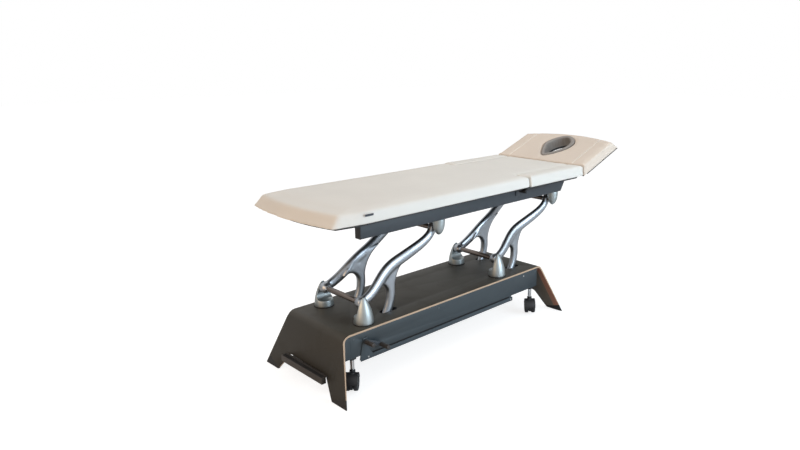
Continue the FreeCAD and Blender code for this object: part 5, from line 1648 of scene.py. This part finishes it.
@dataclass
class Castors:
    """Castors, their link bars and the pedal that lowers them.

    Attributes:
        trail: how far a wheel's axle lies behind its stem.
        heading: direction of the trail at rest, in degrees.
        axle_z: height of the axles.
        radius: wheel radius.
        inner: distance of a wheel's inner face from the castor's middle.
        width: width of one wheel.
        spots_x: x of the stems at the foot end and the head end.
        spot_y: side distance of the stems.
        sleeve_zs: lower and upper end of a stem's sleeve.
        sleeve_radius: its radius.
        peg_radius: radius of the pedal's pegs.
        peg_grooves: grooves round a peg.
        peg_pitch: from one groove to the next.
    """

    trail: float = 22.0
    heading: float = 225.0
    axle_z: float = 50.0
    radius: float = 37.5
    inner: float = 8.0
    width: float = 20.0
    spots_x: tuple[float, float] = (-626.0, 600.0)
    spot_y: float = 198.0
    sleeve_zs: tuple[float, float] = (97.0, 144.5)
    sleeve_radius: float = 9.2
    peg_radius: float = 10.0
    peg_grooves: int = 8
    peg_pitch: float = 5.2

    def build(self) -> None:
        """Dress the castors, links and pedal."""
        for end, x in zip(ENDS, self.spots_x):
            for side in SIDES:
                spot = "%s_%s" % (end, side)
                self.castor(spot, x, SIDE_SIGN[side] * self.spot_y)
        softened("castor_links", Paint.tube_painted_warm_reflection, "links", 0.5)
        softened("castor_pedal", Paint.rail, "pedal", 1.0)
        self.pegs()

    def castor(self, spot: str, x: float, y: float) -> None:
        """One castor: stem, hood and twin wheels with treads.

        Args:
            spot: its place, such as foot_near.
            x: stem place along the couch.
            y: stem place across it.
        """
        softened("castor_stem_" + spot, Paint.chrome, "castor_lift_" + spot, 0.6)
        low, high = self.sleeve_zs
        length, full = high - low, self.sleeve_radius
        profile = [(0, 0), (0, full - 0.8), (0.8, full)]
        profile += [(length - 0.8, full), (length, full - 0.8), (length, 0)]
        sleeve = lathe("castor_sleeve_" + spot, profile, place(x, y, low), Vector((0, 0, 1)), 40)
        finished(sleeve, Paint.chrome, "castor_lift_" + spot)
        softened("castor_hood_" + spot, Paint.plastic, "castor_swivel_" + spot, 1.2, 3)
        turn = math.radians(self.heading)
        axle = Vector((-math.sin(turn), math.cos(turn), 0))
        middle = place(x + self.trail * math.cos(turn), y + self.trail * math.sin(turn), self.axle_z)
        wheels = []
        for sign in (-1, 1):
            face = middle + axle * sign * self.inner * MM
            wheels.append(lathe("wheel", self.wheel_profile(), face, axle * sign, 64))
        pin = lathe("axle", [(0, 0), (0, 3.9), (2 * self.inner, 3.9), (2 * self.inner, 0)],
                    middle - axle * self.inner * MM, axle, 24)
        wheels.append(pin)
        finished(joined("castor_wheel_set_" + spot, wheels), Paint.wheel, "castor_roll_" + spot,
                 "castor_wheels_" + spot)

    def wheel_profile(self) -> list[tuple[float, float]]:
        """Half of a wheel's cut: hub, dished side and rounded tread with two grooves.

        Returns:
            The profile for lathe, from the inner face outwards.
        """
        full = self.radius
        wide = self.width
        tread = [(0.8, full - 2.5), (2.5, full - 0.6), (5, full), (7.5, full), (8, full - 0.8)]
        tread += [(9, full - 0.8), (9.5, full), (13, full), (13.5, full - 0.8), (14.5, full - 0.8)]
        tread += [(15, full), (17.5, full - 0.7), (wide - 0.6, full - 3)]
        side = [(wide, full - 5), (wide, full - 9), (wide - 3, full - 12), (wide - 3, 12), (wide - 0.5, 9)]
        side += [(wide - 0.2, 3), (wide - 0.2, 0)]
        return [(0, 0), (0, full - 5)] + tread + side

    def pegs(self) -> None:
        """Two ribbed peg sleeves of the pedal."""
        low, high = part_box("pedal_pegs")
        radius = self.peg_radius
        length = (high.y - low.y) / MM
        profile = [(0, 0), (0, radius)]
        for step in range(self.peg_grooves):
            for along, depth in ((0, 0), (0.5, 0.7), (1.3, 0.7), (1.8, 0)):
                profile.append((4 + step * self.peg_pitch + along, radius - depth))
        profile += [(length - 2.5, radius), (length - 0.8, radius - 0.8), (length, radius - 2.6), (length, 0)]
        inset = radius * MM
        sleeves = []
        for x, z in ((low.x + inset, high.z - inset), (high.x - inset, low.z + inset)):
            sleeves.append(lathe("sleeve", profile, Vector((x, high.y, z)), Vector((0, -1, 0)), 40))
        finished(joined("peg_sleeves", sleeves), Paint.peg, "pedal", "pedal_pegs")


# Studio

@dataclass
class Studio:
    """Floor, lamps, world and the camera at the photograph's angle.

    Attributes:
        eye: camera place in millimetres about the middle of the base.
        yaw: turn of the view from +Y towards +X, in degrees.
        pitch: how far it looks down, in degrees.
        lens: focal length for a 36 mm sensor.
        shift: camera shift that the photograph's framing needs.
        ambient: strength of the soft light from all round.
        horizon: share of it near the horizon.
        floor_glow: how much of the floor's white is its own, so that it stays white.
        glow_strength: how bright that share is.
        floor_half: half the floor's side in metres.
    """

    eye: tuple[float, float, float] = (-2141.8, -2339.5, 1421.8)
    yaw: float = 45.81
    pitch: float = 13.54
    lens: float = 29.26
    shift: tuple[float, float] = (-0.0786, -0.0165)
    ambient: float = 0.5
    horizon: float = 0.3
    floor_glow: float = 0.4
    glow_strength: float = 2.03
    floor_half: float = 20.0

    def build(self) -> None:
        """Set up the studio."""
        self.floor()
        self.world()
        self.lamps()
        self.camera()
        bpy.context.scene.view_settings.view_transform = "Standard"

    def floor(self) -> None:
        """Plain pale floor that keeps a soft shadow."""
        mesh = bpy.data.meshes.new("floor")
        half = self.floor_half
        corners = [(-half, -half, 0), (half, -half, 0), (half, half, 0), (-half, half, 0)]
        mesh.from_pydata(corners, [], [(0, 1, 2, 3)])
        floor = new_piece("floor", mesh)
        made = bpy.data.materials.new("studio_floor")
        made.use_nodes = True
        net = Net(made.node_tree)
        output = net.add("ShaderNodeOutputMaterial")
        matte = net.fed("ShaderNodeBsdfDiffuse", {"Color": (0.8, 0.8, 0.8, 1)})
        glow = net.fed("ShaderNodeEmission", {"Color": (1, 1, 1, 1), "Strength": self.glow_strength})
        seen = net.add("ShaderNodeLightPath").outputs["Is Camera Ray"]
        share = net.math("MULTIPLY", seen, self.floor_glow)
        net.feed(output.inputs["Surface"], net.fed("ShaderNodeMixShader", {0: share, 1: matte, 2: glow}))
        floor.data.materials.append(made)

    def world(self) -> None:
        """White behind the couch; a bright ceiling and dimmer walls light it."""
        world = bpy.data.worlds.new("studio")
        bpy.context.scene.world = world
        world.use_nodes = True
        net = Net(world.node_tree)
        output = net.add("ShaderNodeOutputWorld")
        facing = net.parts(net.add("ShaderNodeTexCoord").outputs["Generated"])
        ceiling = net.spread(facing[2], -0.1, 0.75, self.horizon, 1.0)
        path = net.add("ShaderNodeLightPath").outputs
        glossy = net.math("MULTIPLY", ceiling, net.spread(path["Is Glossy Ray"], 0, 1, self.ambient, 1.0))
        strength = net.math("MAXIMUM", path["Is Camera Ray"], glossy)
        light = net.fed("ShaderNodeBackground", {"Color": (1, 1, 1, 1), "Strength": strength})
        net.feed(output.inputs["Surface"], light)

    def lamps(self) -> None:
        """Soft lamps: warm from the foot end, cool from the near side, and one overhead."""
        self.lamp("foot_lamp", (-3.6, -0.4, 1.5), (0.0, 0.0, 0.6), 2.0, 27.0, (1.0, 0.62, 0.3))
        self.lamp("near_lamp", (0.8, -3.6, 1.5), (0.2, 0.0, 0.6), 2.4, 98.0, (0.72, 0.87, 1.0))
        self.lamp("top_lamp", (0.3, 0.5, 3.4), (0.0, 0.0, 0.6), 2.2, 23.0, (1.0, 0.99, 0.96))

    @staticmethod
    def lamp(name: str, spot: tuple[float, float, float], aim: tuple[float, float, float], size: float,
             power: float, colour: tuple[float, float, float]) -> None:
        """Square soft lamp.

        Args:
            name: its name.
            spot: where it stands, in metres.
            aim: what it points at.
            size: its side in metres.
            power: its power in watts.
            colour: its colour.
        """
        data = bpy.data.lights.new(name, "AREA")
        data.size = size
        data.energy = power
        data.color = colour
        lamp = bpy.data.objects.new(name, data)
        lamp.location = spot
        lamp.rotation_euler = (Vector(spot) - Vector(aim)).to_track_quat("Z", "Y").to_euler()
        bpy.context.scene.collection.objects.link(lamp)

    def camera(self) -> None:
        """Camera at the photograph's angle and framing."""
        data = bpy.data.cameras.new("view")
        data.lens = self.lens
        data.sensor_width = 36.0
        data.shift_x, data.shift_y = self.shift
        data.clip_start, data.clip_end = 0.05, 100.0
        camera = bpy.data.objects.new("view", data)
        camera.location = place(*self.eye)
        camera.rotation_euler = (math.radians(90 - self.pitch), 0, math.radians(-self.yaw))
        bpy.context.scene.collection.objects.link(camera)
        bpy.context.scene.camera = camera


def write_sizes() -> None:
    """Update the view layer."""
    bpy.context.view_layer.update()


def main() -> None:
    """Build the couch's looks and the studio."""
    logging.basicConfig(level=logging.INFO, format="%(message)s")
    for part in (Base(), Lift(), TopFrame(), Castors(), Upholstery(), Studio()):
        part.build()
        LOG.info("%s done", type(part).__name__)
    write_sizes()


if __name__ == "__main__":
    main()
